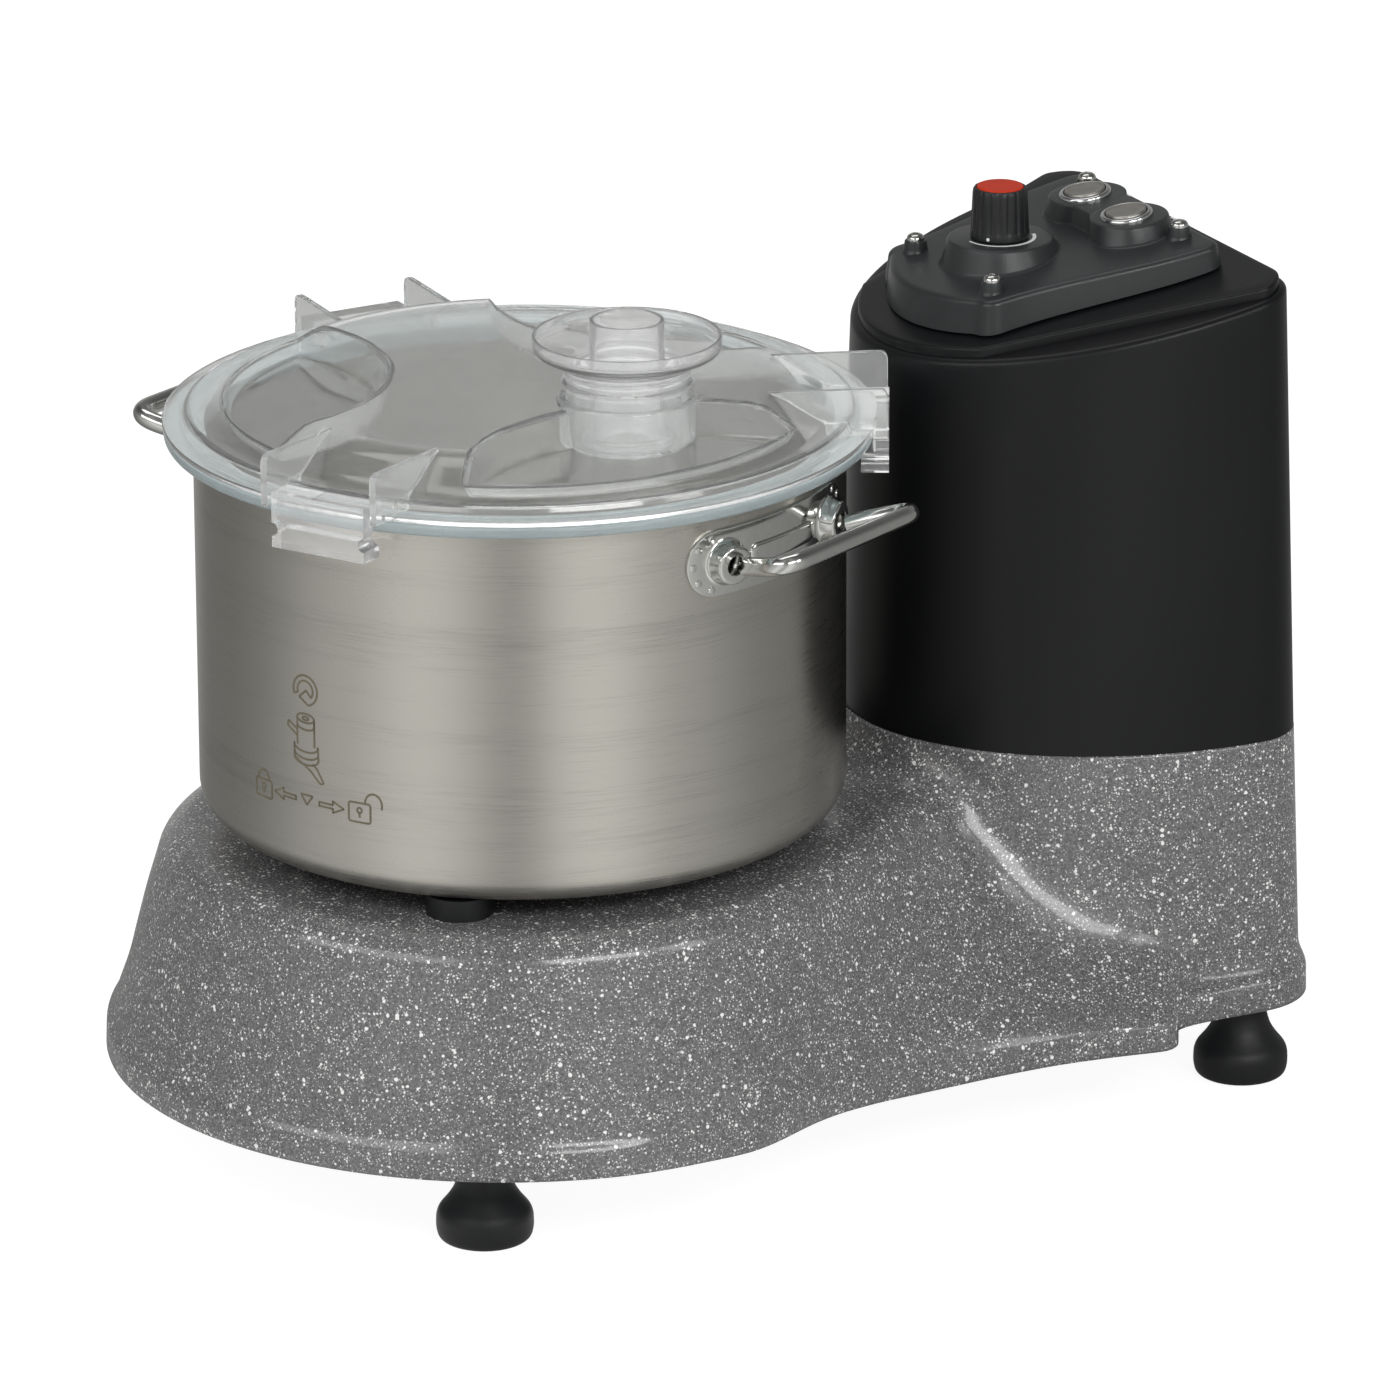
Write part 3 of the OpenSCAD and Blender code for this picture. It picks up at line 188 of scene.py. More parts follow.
def grained(name, colour, roughness, grain, depth, shade, spread, patch, stretch=(1, 1, 1), **sockets):
    """A finish with a fine grain (mm across, depth in mm) that also shades colour and roughness, and larger soft patches.

    stretch makes the grain longer where it is below 1, as on ground or drawn metal."""
    made, tree, shader, place = start_material(name)
    laid = add(tree, "ShaderNodeMapping", {"Vector": place, "Scale": stretch}).outputs[0]
    fine = noise(tree, laid, grain, 3.0, Roughness=0.6)
    both = maths(tree, "MULTIPLY", fine, noise(tree, place, patch))
    tone = shaded(tree, both, 0.12, 0.42, colour, 1 - shade, 1 + shade)
    gloss = rescaled(tree, both, 0.1, 0.45, roughness - spread, roughness + spread)
    fill(tree, shader, Base_Color=tone, Roughness=gloss, Normal=bumped(tree, fine, 0.6, depth), **sockets)
    return made


def speckled_enamel(settings):
    """Stoved two-tone enamel on cast aluminium: grey gloss full of white flecks of very different sizes."""
    made, tree, shader, place = start_material("speckled_enamel")
    wander = add(tree, "ShaderNodeTexNoise", {"Vector": place, "Scale": 700.0, "Detail": 2.0}).outputs["Color"]
    shift = add(tree, "ShaderNodeVectorMath", {0: wander, 1: (0.5, 0.5, 0.5)}, operation="SUBTRACT").outputs[0]
    shift = add(tree, "ShaderNodeVectorMath", {0: shift, "Scale": 0.0011}, operation="SCALE").outputs[0]
    moved = add(tree, "ShaderNodeVectorMath", {0: place, 1: shift}, operation="ADD").outputs[0]
    crowd = rescaled(tree, noise(tree, place, 1 / 0.09, 3.0, Roughness=0.6), 0.35, 0.65, 0.75, 1.12)
    shown = None
    # Each layer: cell in mm, largest fleck radius in mm, how steeply sizes fall off, and how white it is.
    for cell, radius, fall, white in ((3.4, 0.95, 1.3, 1.0), (1.7, 0.58, 1.0, 0.9), (1.0, 0.38, 0.8, 0.6)):
        spot = add(tree, "ShaderNodeTexVoronoi", {"Vector": moved, "Scale": 1000 / cell})
        chance = add(tree, "ShaderNodeSeparateColor", {0: spot.outputs["Color"]}).outputs[0]
        size = maths(tree, "MULTIPLY", maths(tree, "POWER", chance, fall), crowd)
        gap = maths(tree, "SUBTRACT", maths(tree, "MULTIPLY", size, radius / cell), spot.outputs["Distance"])
        fleck = rescaled(tree, gap, -0.02, 0.03, 0.0, white, interpolation_type="SMOOTHSTEP")
        shown = fleck if shown is None else maths(tree, "MAXIMUM", shown, fleck)
    haze = noise(tree, place, 1 / 0.9, 4.0, Roughness=0.7)
    stops = [(0.38, paint(settings.enamel_dark)), (0.64, paint(settings.enamel_light))]
    ground = add(tree, "ShaderNodeValToRGB", {0: haze}, stops=stops).outputs[0]
    colour = add(tree, "ShaderNodeMix", {0: shown, 6: ground, 7: paint(settings.fleck)}, data_type="RGBA").outputs[2]
    raised = bumped(tree, haze, 0.25, 0.06)
    fill(
        tree, shader, Base_Color=colour, Roughness=0.27, Specular_IOR_Level=0.5, Coat_Weight=0.6, Coat_Roughness=0.07,
        Normal=raised
    )
    return made


def brushed_steel(name, colour, roughness, lines=0.5):
    """Stainless steel brushed round and round: fine level lines, highlights drawn out into upright bands."""
    made, tree, shader, place = start_material(name)
    laid = add(tree, "ShaderNodeMapping", {"Vector": place, "Scale": (0.02, 0.02, 1.0)}).outputs[0]
    fine = noise(tree, laid, lines, 4.0, Roughness=0.65)
    both = maths(tree, "ADD", fine, noise(tree, laid, 30 * lines, 3.0))
    tone = shaded(tree, both, 0.7, 1.0, colour, 0.9, 1.08)
    gloss = rescaled(tree, fine, 0.3, 0.7, roughness - 0.05, roughness + 0.06)
    along = add(tree, "ShaderNodeTangent", direction_type="RADIAL", axis="Z").outputs[0]
    raised = bumped(tree, fine, 0.25, 0.02)
    fill(tree, shader, Base_Color=tone, Metallic=1.0, Roughness=gloss, Normal=raised)
    fill(tree, shader, Anisotropic=0.7, Anisotropic_Rotation=0.25, Tangent=along)
    return made


def clear_polycarbonate(name, colour, haze):
    """Injection moulded clear polycarbonate: flat faces clear with faint flow haze. Upright faces and edges are paler,
    a painted sheen: their transmission is lowered by the way they face, standing in for the light that steep faces of
    clear plastic reflect.
    """
    made, tree, shader, place = start_material(name)
    facing = add(tree, "ShaderNodeSeparateXYZ", {0: add(tree, "ShaderNodeTexCoord").outputs["Normal"]}).outputs[2]
    # Painted sheen: transmission falls as a face turns upright, so the near-white base colour shows there.
    clear = rescaled(tree, maths(tree, "ABSOLUTE", facing), 0.2, 0.95, 0.86, 0.965)
    gloss = rescaled(tree, noise(tree, place, 60.0, Distortion=1.2), 0.3, 0.7, haze * 0.6, haze * 1.4)
    fill(tree, shader, Base_Color=paint(colour), Roughness=gloss, IOR=1.5, Transmission_Weight=clear)
    through = add(tree, "ShaderNodeBsdfTransparent", {"Color": paint("#f2f3f3")}).outputs[0]
    ray = add(tree, "ShaderNodeLightPath").outputs["Is Shadow Ray"]
    both = add(tree, "ShaderNodeMixShader", {0: ray, 1: shader.outputs[0], 2: through}).outputs[0]
    tree.links.new(both, next(n for n in tree.nodes if n.type == "OUTPUT_MATERIAL").inputs["Surface"])
    return made


METAL = {"Metallic": 1.0}
# Each: colour (a code, or the name of a setting), roughness, grain, depth, shade, spread, patch, and any other sockets.
GRAINED = {
    # ABS moulded in a lightly spark-eroded tool: almost black with a satin sheen that spreads.
    "satin_abs": ("cover_colour", 0.36, 0.5, 0.012, 0.1, 0.04, 70.0, {"Specular_IOR_Level": 0.28}),
    # Die-cast panel with fine textured powder coat: grey-black with a soft glitter along its edges.
    "textured_coat": ("panel_colour", 0.36, 0.55, 0.05, 0.16, 0.07, 30.0, {"Specular_IOR_Level": 0.5}),
    # Stainless rod, machine polished: near mirror with faint waves.
    "polished_steel": ("#cfcfcc", 0.13, 2.5, 0.004, 0.04, 0.03, 20.0, METAL),
    # Ground tool steel of the blades: clean lines across the face.
    "ground_steel": ("#b9bab9", 0.24, 0.6, 0.01, 0.1, 0.06, 15.0, (0.06, 1, 1), METAL),
    # Turned shafts and springs: rings of fine tool marks round them.
    "turned_steel": ("#a9aaa8", 0.3, 0.4, 0.01, 0.1, 0.06, 12.0, (0.1, 0.1, 1), METAL),
    # Zinc-plated sheet: cool grey with a cloudy spangle.
    "zinc_sheet": ("#9ea3a6", 0.38, 7.0, 0.01, 0.16, 0.1, 60.0, METAL),
    # Sand-cast aluminium: dull light grey with a pitted skin.
    "cast_aluminium": ("#8f9192", 0.5, 1.4, 0.12, 0.14, 0.08, 30.0, {"Metallic": 0.85}),
    # Sprayed motor enamel: blue-grey with a little orange peel.
    "motor_paint": ("#3f4f5c", 0.45, 0.9, 0.05, 0.1, 0.06, 40.0, {}),
    # Moulded nitrile rubber: black, dry and slightly dusty.
    "moulded_rubber": ("#17181a", 0.5, 0.8, 0.03, 0.22, 0.08, 18.0, {"Specular_IOR_Level": 0.4}),
    "belt_rubber": ("#1c1c1c", 0.65, 1.2, 0.08, 0.2, 0.08, 10.0, {"Specular_IOR_Level": 0.3}),
    # Glass-fibre board under solder resist: green with the weave showing faintly.
    "circuit_board": ("#1f5a38", 0.35, 1.6, 0.03, 0.3, 0.1, 5.0, {}),
    # Moulded nylon of the electric parts: dark and even.
    "electric_nylon": ("#33383a", 0.5, 0.8, 0.03, 0.1, 0.06, 20.0, {}),
    # Translucent silicone: milky and bluish, light glows softly inside it.
    "silicone": ("#cdd8da", 0.2, 1.5, 0.01, 0.05, 0.05, 30.0, {"Transmission_Weight": 0.6, "IOR": 1.41, "Coat_Weight": 0.4}),
    # Phenolic knob: deep black with a dull press gloss.
    "phenolic": ("#1b1c1e", 0.4, 0.5, 0.02, 0.12, 0.05, 10.0, {"Specular_IOR_Level": 0.45}),
    # Moulded cap: even red, nearly matt.
    "cap_red": ("cap_colour", 0.5, 0.6, 0.02, 0.1, 0.05, 8.0, {"Specular_IOR_Level": 0.2}),
    # Screen-printed ink: flat white.
    "white_print": ("#e8e9e8", 0.5, 0.3, 0.005, 0.05, 0.05, 5.0, {}),
    # Electrochemically etched lines: dark brown and matt.
    "etched_mark": ("mark_colour", 0.55, 0.4, 0.01, 0.2, 0.06, 6.0, {}),
    # Chromed brass rings: mirror bright.
    "bright_chrome": ("#dcdddd", 0.12, 1.5, 0.003, 0.04, 0.03, 8.0, METAL),
    # Button discs: turned steel with a fine satin face.
    "satin_button": ("#b7b4ae", 0.36, 0.35, 0.01, 0.12, 0.06, 6.0, METAL),
}
OTHERS = {
    "speckled_enamel": lambda name, settings: speckled_enamel(settings),
    "brushed_steel": lambda name, settings: brushed_steel(name, settings.steel_colour, 0.3),
    "inner_steel": lambda name, settings: brushed_steel(name, "#b3b1ab", 0.34),
    "polycarbonate": lambda name, settings: clear_polycarbonate(name, "#f6f7f6", 0.06),
    "polycarbonate_bright": lambda name, settings: clear_polycarbonate(name, "#fafafa", 0.03),
}
FINISHES = {}


def finish_of(name, settings):
    """The material of that name, made when it is first asked for."""
    if name not in FINISHES:
        if name in OTHERS:
            FINISHES[name] = OTHERS[name](name, settings)
        else:
            colour, *numbers, sockets = GRAINED[name]
            colour = colour if colour.startswith("#") else getattr(settings, colour)
            FINISHES[name] = grained(name, colour, *numbers, **sockets)
    return FINISHES[name]


# ---------------------------------------------------------------- grids, profiles and paths


def eased(low, high, value):
    """Smooth step: 3t^2 - 2t^3 of the share t of the way from low to high."""
    t = np.clip((value - low) / (high - low), 0, 1)
    return t * t * (3 - 2 * t)


def mixed(a, b, t):
    """The value the share t of the way from a to b."""
    return a + (b - a) * t


def smooth_rows(table, spread, step=0.5):
    """A table of (place, value) as a curve: joined by lines, then averaged over a bell of that spread."""
    table = np.array(table, float)
    x = np.arange(table[0, 0], table[-1, 0] + step, step)
    y = np.interp(x, table[:, 0], table[:, 1])
    reach = int(3 * spread / step)
    bell = np.exp(-0.5 * (np.arange(-reach, reach + 1) * step / spread) ** 2)
    return x, np.convolve(np.pad(y, reach, mode="reflect", reflect_type="odd"), bell / bell.sum(), mode="valid")


def soften(corners, radii, steps=6, closed=False):
    """A line through corners, each cut back by its radius and bridged by (1-t)^2 a + 2t(1-t) c + t^2 b."""
    c = np.array(corners, float)
    before, after = np.roll(c, 1, 0) - c, np.roll(c, -1, 0) - c
    if not closed:
        before[0], after[-1] = 0, 0
    reach = np.broadcast_to(np.array(radii, float), (len(c),))[:, None]
    sides = []
    for side in (before, after):
        length = np.linalg.norm(side, axis=1, keepdims=True)
        sides.append(c + side / np.maximum(length, 1e-9) * np.minimum(reach, length * 0.49))
    t = np.linspace(0, 1, steps)[None, :, None]
    line = (1 - t) ** 2 * sides[0][:, None] + 2 * t * (1 - t) * c[:, None] + t * t * sides[1][:, None]
    line = line.reshape(-1, c.shape[1])
    return np.vstack([line, line[:1]]) if closed else line


def turned(profile, about=(0.0, 0.0), turns=96):
    """A profile of (radius, height) carried round the upright axis at about."""
    profile = np.array(profile, float)
    a = np.linspace(0, 2 * np.pi, turns + 1)
    r, z = profile[:, :1], profile[:, 1:2]
    return np.stack([about[0] + r * np.cos(a), about[1] + r * np.sin(a), z + 0 * a], -1)


def on_bowl(grid, angle):
    """Lays a grid of (distance round, height, distance out) on the bowl's wall, about the upright line at angle."""
    turn = math.radians(angle) + grid[..., 0] / BOWL_R
    r = BOWL_R + grid[..., 2]
    return np.stack([r * np.cos(turn), r * np.sin(turn), grid[..., 1]], -1)


def without_repeats(path):
    """The path without points that lie on the one before, since those have no direction."""
    path = np.array(path, float)
    return path[np.append(True, np.linalg.norm(np.diff(path, axis=0), axis=1) > 1e-6)]


def ribbon(path, half, high, closed=False):
    """A flat bar of four faces along a plane path: each point goes to half a width either side of it."""
    path = without_repeats(path)
    ahead = np.gradient(path, axis=0)
    if closed:
        path = np.vstack([path, path[:1]])
        ahead = np.roll(path[:-1], -1, 0) - np.roll(path[:-1], 1, 0)
        ahead = np.vstack([ahead, ahead[:1]])
    ahead /= np.maximum(np.linalg.norm(ahead, axis=1, keepdims=True), 1e-9)
    side = np.stack([-ahead[:, 1], ahead[:, 0]], -1)
    width = np.broadcast_to(np.array(half, float), (len(path),))[:, None]
    corners = [(-1, -0.2), (-1, 1), (1, 1), (1, -0.2), (-1, -0.2)]
    rows = np.stack([np.column_stack([path + side * width * s, np.full(len(path), high * h)]) for s, h in corners], 1)
    if closed:
        return rows
    ends = [np.repeat(rows[i : i + 1].mean(1, keepdims=True), 5, axis=1) for i in (0, len(rows) - 1)]
    return np.concatenate([ends[0], rows, ends[1]])


def rod(path, flat, half, turns=28):
    """A round bar along a path square to the direction flat: rings of p + half (cos a flat + sin a (ahead x flat))."""
    path = without_repeats(path)
    ahead = np.gradient(path, axis=0)
    ahead /= np.linalg.norm(ahead, axis=1, keepdims=True)
    a = np.linspace(0, 2 * np.pi, turns + 1)[None, :, None]
    rings = path[:, None] + half * (np.cos(a) * flat + np.sin(a) * np.cross(ahead, flat)[:, None])
    return np.concatenate([path[:1, None] + 0 * rings[:1], rings, path[-1:, None] + 0 * rings[:1]])


def shrunk_to(ring_x, ring_y, low, high, steps):
    """Rings between an outline and the part of the x axis from low to high, by equal shares of the way."""
    share = np.linspace(0, 1, steps)[1:, None]
    return mixed(ring_x, np.clip(ring_x, low, high), share), mixed(ring_y, 0.0, share)


def piece(name, body, slot, finishes, surfaces, stands_for=(), sharp=38.0, wall=0.0, keep=None):
    """Makes one mesh of grids of points in mm: a quad for each cell, equal points welded, cells without area left out.

    A surface is a grid or (grid, finish number). wall gives an open sheet that thickness inwards, and keep drops faces."""
    points, cells, tints, first = [], [], [], 0
    for surface in surfaces:
        grid, tint = surface if isinstance(surface, tuple) else (surface, 0)
        rows, columns = grid.shape[:2]
        index = np.arange(rows * columns).reshape(rows, columns) + first
        quads = np.stack([index[:-1, :-1], index[1:, :-1], index[1:, 1:], index[:-1, 1:]], -1).reshape(-1, 4)
        points.append(grid.reshape(-1, 3))
        cells.append(quads)
        tints.append(np.full(len(quads), tint))
        first += rows * columns
    joined = [np.concatenate(part) for part in (points, cells, tints)]
    return mesh_piece(name, body, slot, finishes, *joined, stands_for, sharp, wall, keep)


def mesh_piece(name, body, slot, finishes, points, cells, tints, stands_for=(), sharp=38.0, wall=0.0, keep=None):
    """The mesh, its object and its place in the frame, from points in mm and four corners for each face."""
    _, kept, where = np.unique(np.round(points / WELD).astype(np.int64), axis=0, return_index=True, return_inverse=True)
    points, cells = points[kept], where.reshape(-1)[cells]
    same = cells == np.roll(cells, -1, axis=1)
    loose = same.sum(1)
    crossed = (cells[:, 0] == cells[:, 2]) | (cells[:, 1] == cells[:, 3])
    quads, tris = (loose == 0) & ~crossed, (loose == 1) & ~crossed
    faces = [cells[quads], cells[tris][~same[tris]].reshape(-1, 3)]
    tints = np.concatenate([tints[quads], tints[tris]])
    if keep is not None:
        flags = [keep(points[f]) for f in faces]
        faces = [f[flag] for f, flag in zip(faces, flags)]
        tints = tints[np.concatenate(flags)]
    mesh = bpy.data.meshes.new(name)
    mesh.from_pydata((points + (AXIS_X, 0, 0)) * MM, [], faces[0].tolist() + faces[1].tolist())
    for finish in finishes:
        mesh.materials.append(finish)
    mesh.polygons.foreach_set("material_index", tints.astype(np.int32))
    tidy = bmesh.new()
    tidy.from_mesh(mesh)
    bmesh.ops.delete(tidy, geom=[v for v in tidy.verts if not v.link_faces], context="VERTS")
    bmesh.ops.recalc_face_normals(tidy, faces=tidy.faces)
    tidy.to_mesh(mesh)
    tidy.free()
    mesh.shade_smooth()
    mesh.set_sharp_from_angle(angle=math.radians(sharp))
    made = bpy.data.objects.new(name, mesh)
    bpy.context.scene.collection.objects.link(made)
    if wall:
        thick = made.modifiers.new("wall", "SOLIDIFY")
        thick.thickness, thick.offset = wall * MM, -1.0
    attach(made, body)
    if stands_for:
        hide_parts(*stands_for)
    return made


def dress(finish, *nodes):
    """Gives CAD nodes a finish."""
    for name in nodes:
        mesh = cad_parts[name].data
        mesh.materials.clear()
        mesh.materials.append(finish)


# ---------------------------------------------------------------- the base shell


def join_soft(a, b, reach):
    """Union of two fields, filled where they are within reach of each other: min(a, b) - h^2 reach / 4."""
    h = np.maximum(reach - np.abs(a - b), 0) / reach
    return np.minimum(a, b) - h * h * reach / 4


def meet_round(a, b, r):
    """What is inside both fields, with a rounded edge of radius r."""
    return np.minimum(np.maximum(a, b), -r) + np.hypot(np.maximum(a + r, 0), np.maximum(b + r, 0))


FLANK = [
    (30, 171), (48, 169.8), (58, 166.8), (67, 163.8), (76, 161.2), (85, 159.2), (93, 157), (102, 154.8), (110, 152.4),
    (118, 149.8), (160, 138)
]
LIP_HALF = [
    (-5, 172), (10, 171.5), (25, 168.5), (40, 162), (55, 153), (73, 144.5), (97, 137.5), (127, 133), (156, 131), (185, 131),
    (210, 134), (231, 138), (260, 141)
]


def round_box(u, v, corner):
    """Distance to a quarter plane u < 0, v < 0 with its corner rounded."""
    u, v = u + corner, v + corner
    return np.hypot(np.maximum(u, 0), np.maximum(v, 0)) + np.minimum(np.maximum(u, v), 0) - corner


def column_distance(x, y, grown):
    """Distance to the column's plan: the ellipse k(k - 1) / g in front of its centre, and a box with round corners behind."""
    ex, ey = (x - COLUMN_X) / (COLUMN_X - COLUMN_TIP), y / COLUMN_HALF
    k = np.hypot(ex, ey)
    g = np.hypot(ex / (COLUMN_X - COLUMN_TIP), ey / COLUMN_HALF)
    nose = k * (k - 1) / np.maximum(g, 1e-6)
    box = round_box(y - COLUMN_HALF, x - COLUMN_X - COLUMN_CORNER, COLUMN_CORNER)
    return np.where(x < COLUMN_X, nose, box) - grown


def base_field(x, y, z, settings):
    """How far a point is outside the base. The drum's flank is a cone in front of x = -5 and behind it goes over, from the
    outline of the foot to that of the platform, to flat sides drawn in towards the column. Below zero is inside."""
    y = np.abs(y)
    fore = x - DRUM_X
    radius = np.interp(z, *smooth_rows(FLANK, 5))
    lip_half = np.interp(x, *smooth_rows(LIP_HALF, 7))
    flat = (DRUM_TOP_R - fore * math.sin(SIDE_LEAN)) / math.cos(SIDE_LEAN)
    top_half = np.where(fore < DRUM_TOP_R * math.sin(SIDE_LEAN), np.sqrt(np.maximum(DRUM_TOP_R**2 - fore**2, 0)), flat)
    flat_foot = 0.1 * eased(0, 50, fore)
    risen = np.maximum((LIP_R - radius) / (LIP_R - DRUM_TOP_R) - flat_foot, 0) / (1 - flat_foot)
    side = lip_half - (lip_half - top_half) * risen
    drum = np.where(fore < 0, np.hypot(fore, y) - radius, (y - side) * mixed(1.0, 0.8, eased(0, 110, fore)))
    drum = meet_round(drum, z - PLATFORM, settings.shoulder / MM)
    drum = meet_round(drum, x - 244, 14)
    column = column_distance(x, y, (PARTING - z) * DRAFT)
    body = join_soft(drum, column, settings.crease / MM)
    lip = np.where(fore < 0, np.hypot(fore, y) - LIP_R, y - lip_half) + 1.3 + 8 * eased(-45, 35, x)
    lip = meet_round(np.maximum(lip, x - 120), z - LIP_TOP, 3)
    skirt = round_box(y - SKIRT_HALF, x - SKIRT_END, SKIRT_CORNER)
    skirt = meet_round(np.maximum(skirt, 150 - x), z - LIP_TOP, 3)
    return join_soft(join_soft(body, lip, 5), skirt, 9)


def zero_surface(field, xs, ys, zs):
    """Surface net: one point in each cell of the lattice that the zero level of the field crosses, moved onto that level
    by p - F grad F / |grad F|^2, and one quad for each lattice edge that it crosses. It ends open at the first and last z."""
    grid = np.meshgrid(xs, ys, zs, indexing="ij")
    inside = field(*grid) < 0
    nx, ny, nz = inside.shape
    count = sum(
        inside[i : nx - 1 + i, j : ny - 1 + j, k : nz - 1 + k].astype(np.int8) for i in (0, 1) for j in (0, 1) for k in (0, 1)
    )
    crossed = (count > 0) & (count < 8)
    number = np.full(crossed.shape, -1)
    number[crossed] = np.arange(crossed.sum())
    i, j, k = np.nonzero(crossed)
    p = np.stack([(xs[i] + xs[i + 1]) / 2, (ys[j] + ys[j + 1]) / 2, (zs[k] + zs[k + 1]) / 2], -1)
    p[k == 0, 2], p[k == nz - 2, 2] = zs[0], zs[-1]
    level = (k == 0) | (k == nz - 2)
    for _ in range(7):
        f = field(*p.T)
        slope = np.stack([(field(*(p + d).T) - field(*(p - d).T)) / 0.4 for d in np.eye(3) * 0.2], -1)
        slope[level, 2] = 0
        move = slope * (f / np.maximum((slope**2).sum(1), 0.05))[:, None]
        p -= np.clip(move, -2, 2)
    quads = []
    for axis in range(3):
        a, b = [slice(None)] * 3, [slice(None)] * 3
        a[axis], b[axis] = slice(0, -1), slice(1, None)
        change = inside[tuple(a)] != inside[tuple(b)]
        u, v = [n for n in range(3) if n != axis]
        cut = [slice(None)] * 3
        cut[u] = cut[v] = slice(1, -1)
        e = np.stack(np.nonzero(change[tuple(cut)]), -1)
        if axis == 2:
            e = e[(e[:, 2] > 0) & (e[:, 2] < nz - 2)]
        e[:, u] += 1
        e[:, v] += 1
        corners = []
        for du, dv in ((0, 0), (1, 0), (1, 1), (0, 1)):
            c = e.copy()
            c[:, u] -= du
            c[:, v] -= dv
            corners.append(number[tuple(c.T)])
        quads.append(np.stack(corners, -1))
    return p, np.concatenate(quads)


def length(name, description, default):
    """A setting in metres."""
    return FloatProperty(name=name, description=description, default=default, unit="LENGTH")


def colour_code(name, subject, default):
    """A setting for a colour."""
    return StringProperty(name=name, description=f"sRGB code of the {subject}", default=default)


class ShellSettings(bpy.types.PropertyGroup):
    """Sizes and colours of the base, cover and panel."""

    shoulder: length("Shoulder radius", "Rounding between the flank and the platform", 0.011)
    crease: length("Crease fillet", "Reach of the fillet where the drum meets the column", 0.028)
    lift: length("Edge lift", "How far the drum's lower edge is above the skirt's", 0.0044)
    lattice: length("Lattice", "Spacing of the lattice that the base is drawn on", 0.003)
    wall: length("Shell wall", "Thickness of the base casting", 0.004)
    enamel_dark: colour_code("Enamel, dark", "darker ground", "#4f4f50")
    enamel_light: colour_code("Enamel, light", "lighter ground", "#7f7f80")
    fleck: colour_code("Fleck", "flecks", "#f1f1ef")
    cover_colour: colour_code("Cover", "motor cover", "#121315")
    panel_colour: colour_code("Panel", "control panel", "#2c2f30")


class VesselSettings(bpy.types.PropertyGroup):
    """Sizes and colours of the bowl, lid and handles."""

    corner: length("Bowl corner", "Radius between the bowl's wall and floor", 0.0137)
    wall: length("Bowl wall", "Thickness of the bowl's steel", 0.0012)
    lid_wall: length("Lid wall", "Thickness of the clear lid", 0.0018)
    window_floor: length("Window floor", "Height of the sunken windows above the table", 0.3135)
    mark_width: length("Mark width", "Width of the etched lines", 0.0009)
    steel_colour: colour_code("Bowl steel", "brushed steel", "#bab7b0")
    mark_colour: colour_code("Etched marks", "etched marks", "#6b6452")


class ControlSettings(bpy.types.PropertyGroup):
    """Sizes and colours of the knob and buttons."""

    flutes: IntProperty(name="Flutes", description="Number of grooves round the knob", default=18, min=6, max=40)
    flute_depth: length("Flute depth", "Depth of a groove", 0.0005)
    boss_rise: length("Button boss", "Height of the boss under the buttons", 0.0072)
    cap_colour: colour_code("Knob cap", "cap", "#bd3010")


class StudioSettings(bpy.types.PropertyGroup):
    """The camera, lamps and floor."""

    stand: FloatVectorProperty(
        name="Camera place", description="From the bowl's axis on the table", default=(-1.7245, -3.5833, 1.5714),
        subtype="TRANSLATION", unit="LENGTH"
    )
    aim: FloatVectorProperty(
        name="Camera aim", description="Point at the middle of the view", default=(0.06159, -0.04223, 0.18905),
        subtype="TRANSLATION", unit="LENGTH"
    )
    roll: FloatProperty(
        name="Roll", description="Turn about the line of view", default=math.radians(-0.22), subtype="ANGLE", unit="ROTATION"
    )
    lens: FloatProperty(name="Lens", description="Focal length in mm on a 36 mm frame", default=259.76)
    fill: FloatProperty(name="Fill", description="Level of the light from all round", default=0.54, min=0.0)
    key: FloatProperty(name="Key lamp", description="Power of the main soft lamp", default=14.5, min=0.0, unit="POWER")


def cover_top(x):
    """Height of the cover's raised field."""
    return PARTING + COVER_H + (x - COLUMN_TIP) * COVER_SLOPE


def panel_top(x):
    """Height of the panel's face."""
    slope = (PANEL_LONG * COVER_SLOPE + PANEL_REAR_H - PANEL_FRONT_H) / PANEL_LONG
    return cover_top(PANEL_X) + PANEL_FRONT_H + (x - PANEL_X) * slope


def column_ring(inset):
    """The column's outline set in by inset (rows): half an ellipse, two round corners and a straight back."""
    inset = np.atleast_1d(np.array(inset, float))[:, None]
    a = np.radians(np.linspace(90, 270, 121))
    b = np.radians(np.linspace(-90, 0, 13))
    rear = np.linspace(-1, 1, 25)[1:-1] * (COLUMN_HALF - COLUMN_CORNER)
    corner = COLUMN_CORNER - inset
    x = [
        COLUMN_X + (COLUMN_X - COLUMN_TIP - inset) * np.cos(a), COLUMN_X + corner * np.cos(b), COLUMN_X + corner + 0 * rear,
        COLUMN_X + corner * np.cos(b[::-1]),
    ]
    y = [
        (COLUMN_HALF - inset) * np.sin(a), corner * np.sin(b) - COLUMN_HALF + COLUMN_CORNER, rear + 0 * corner,
        corner * np.sin(-b[::-1]) + COLUMN_HALF - COLUMN_CORNER,
    ]
    return np.concatenate(x, 1), np.concatenate(y, 1)


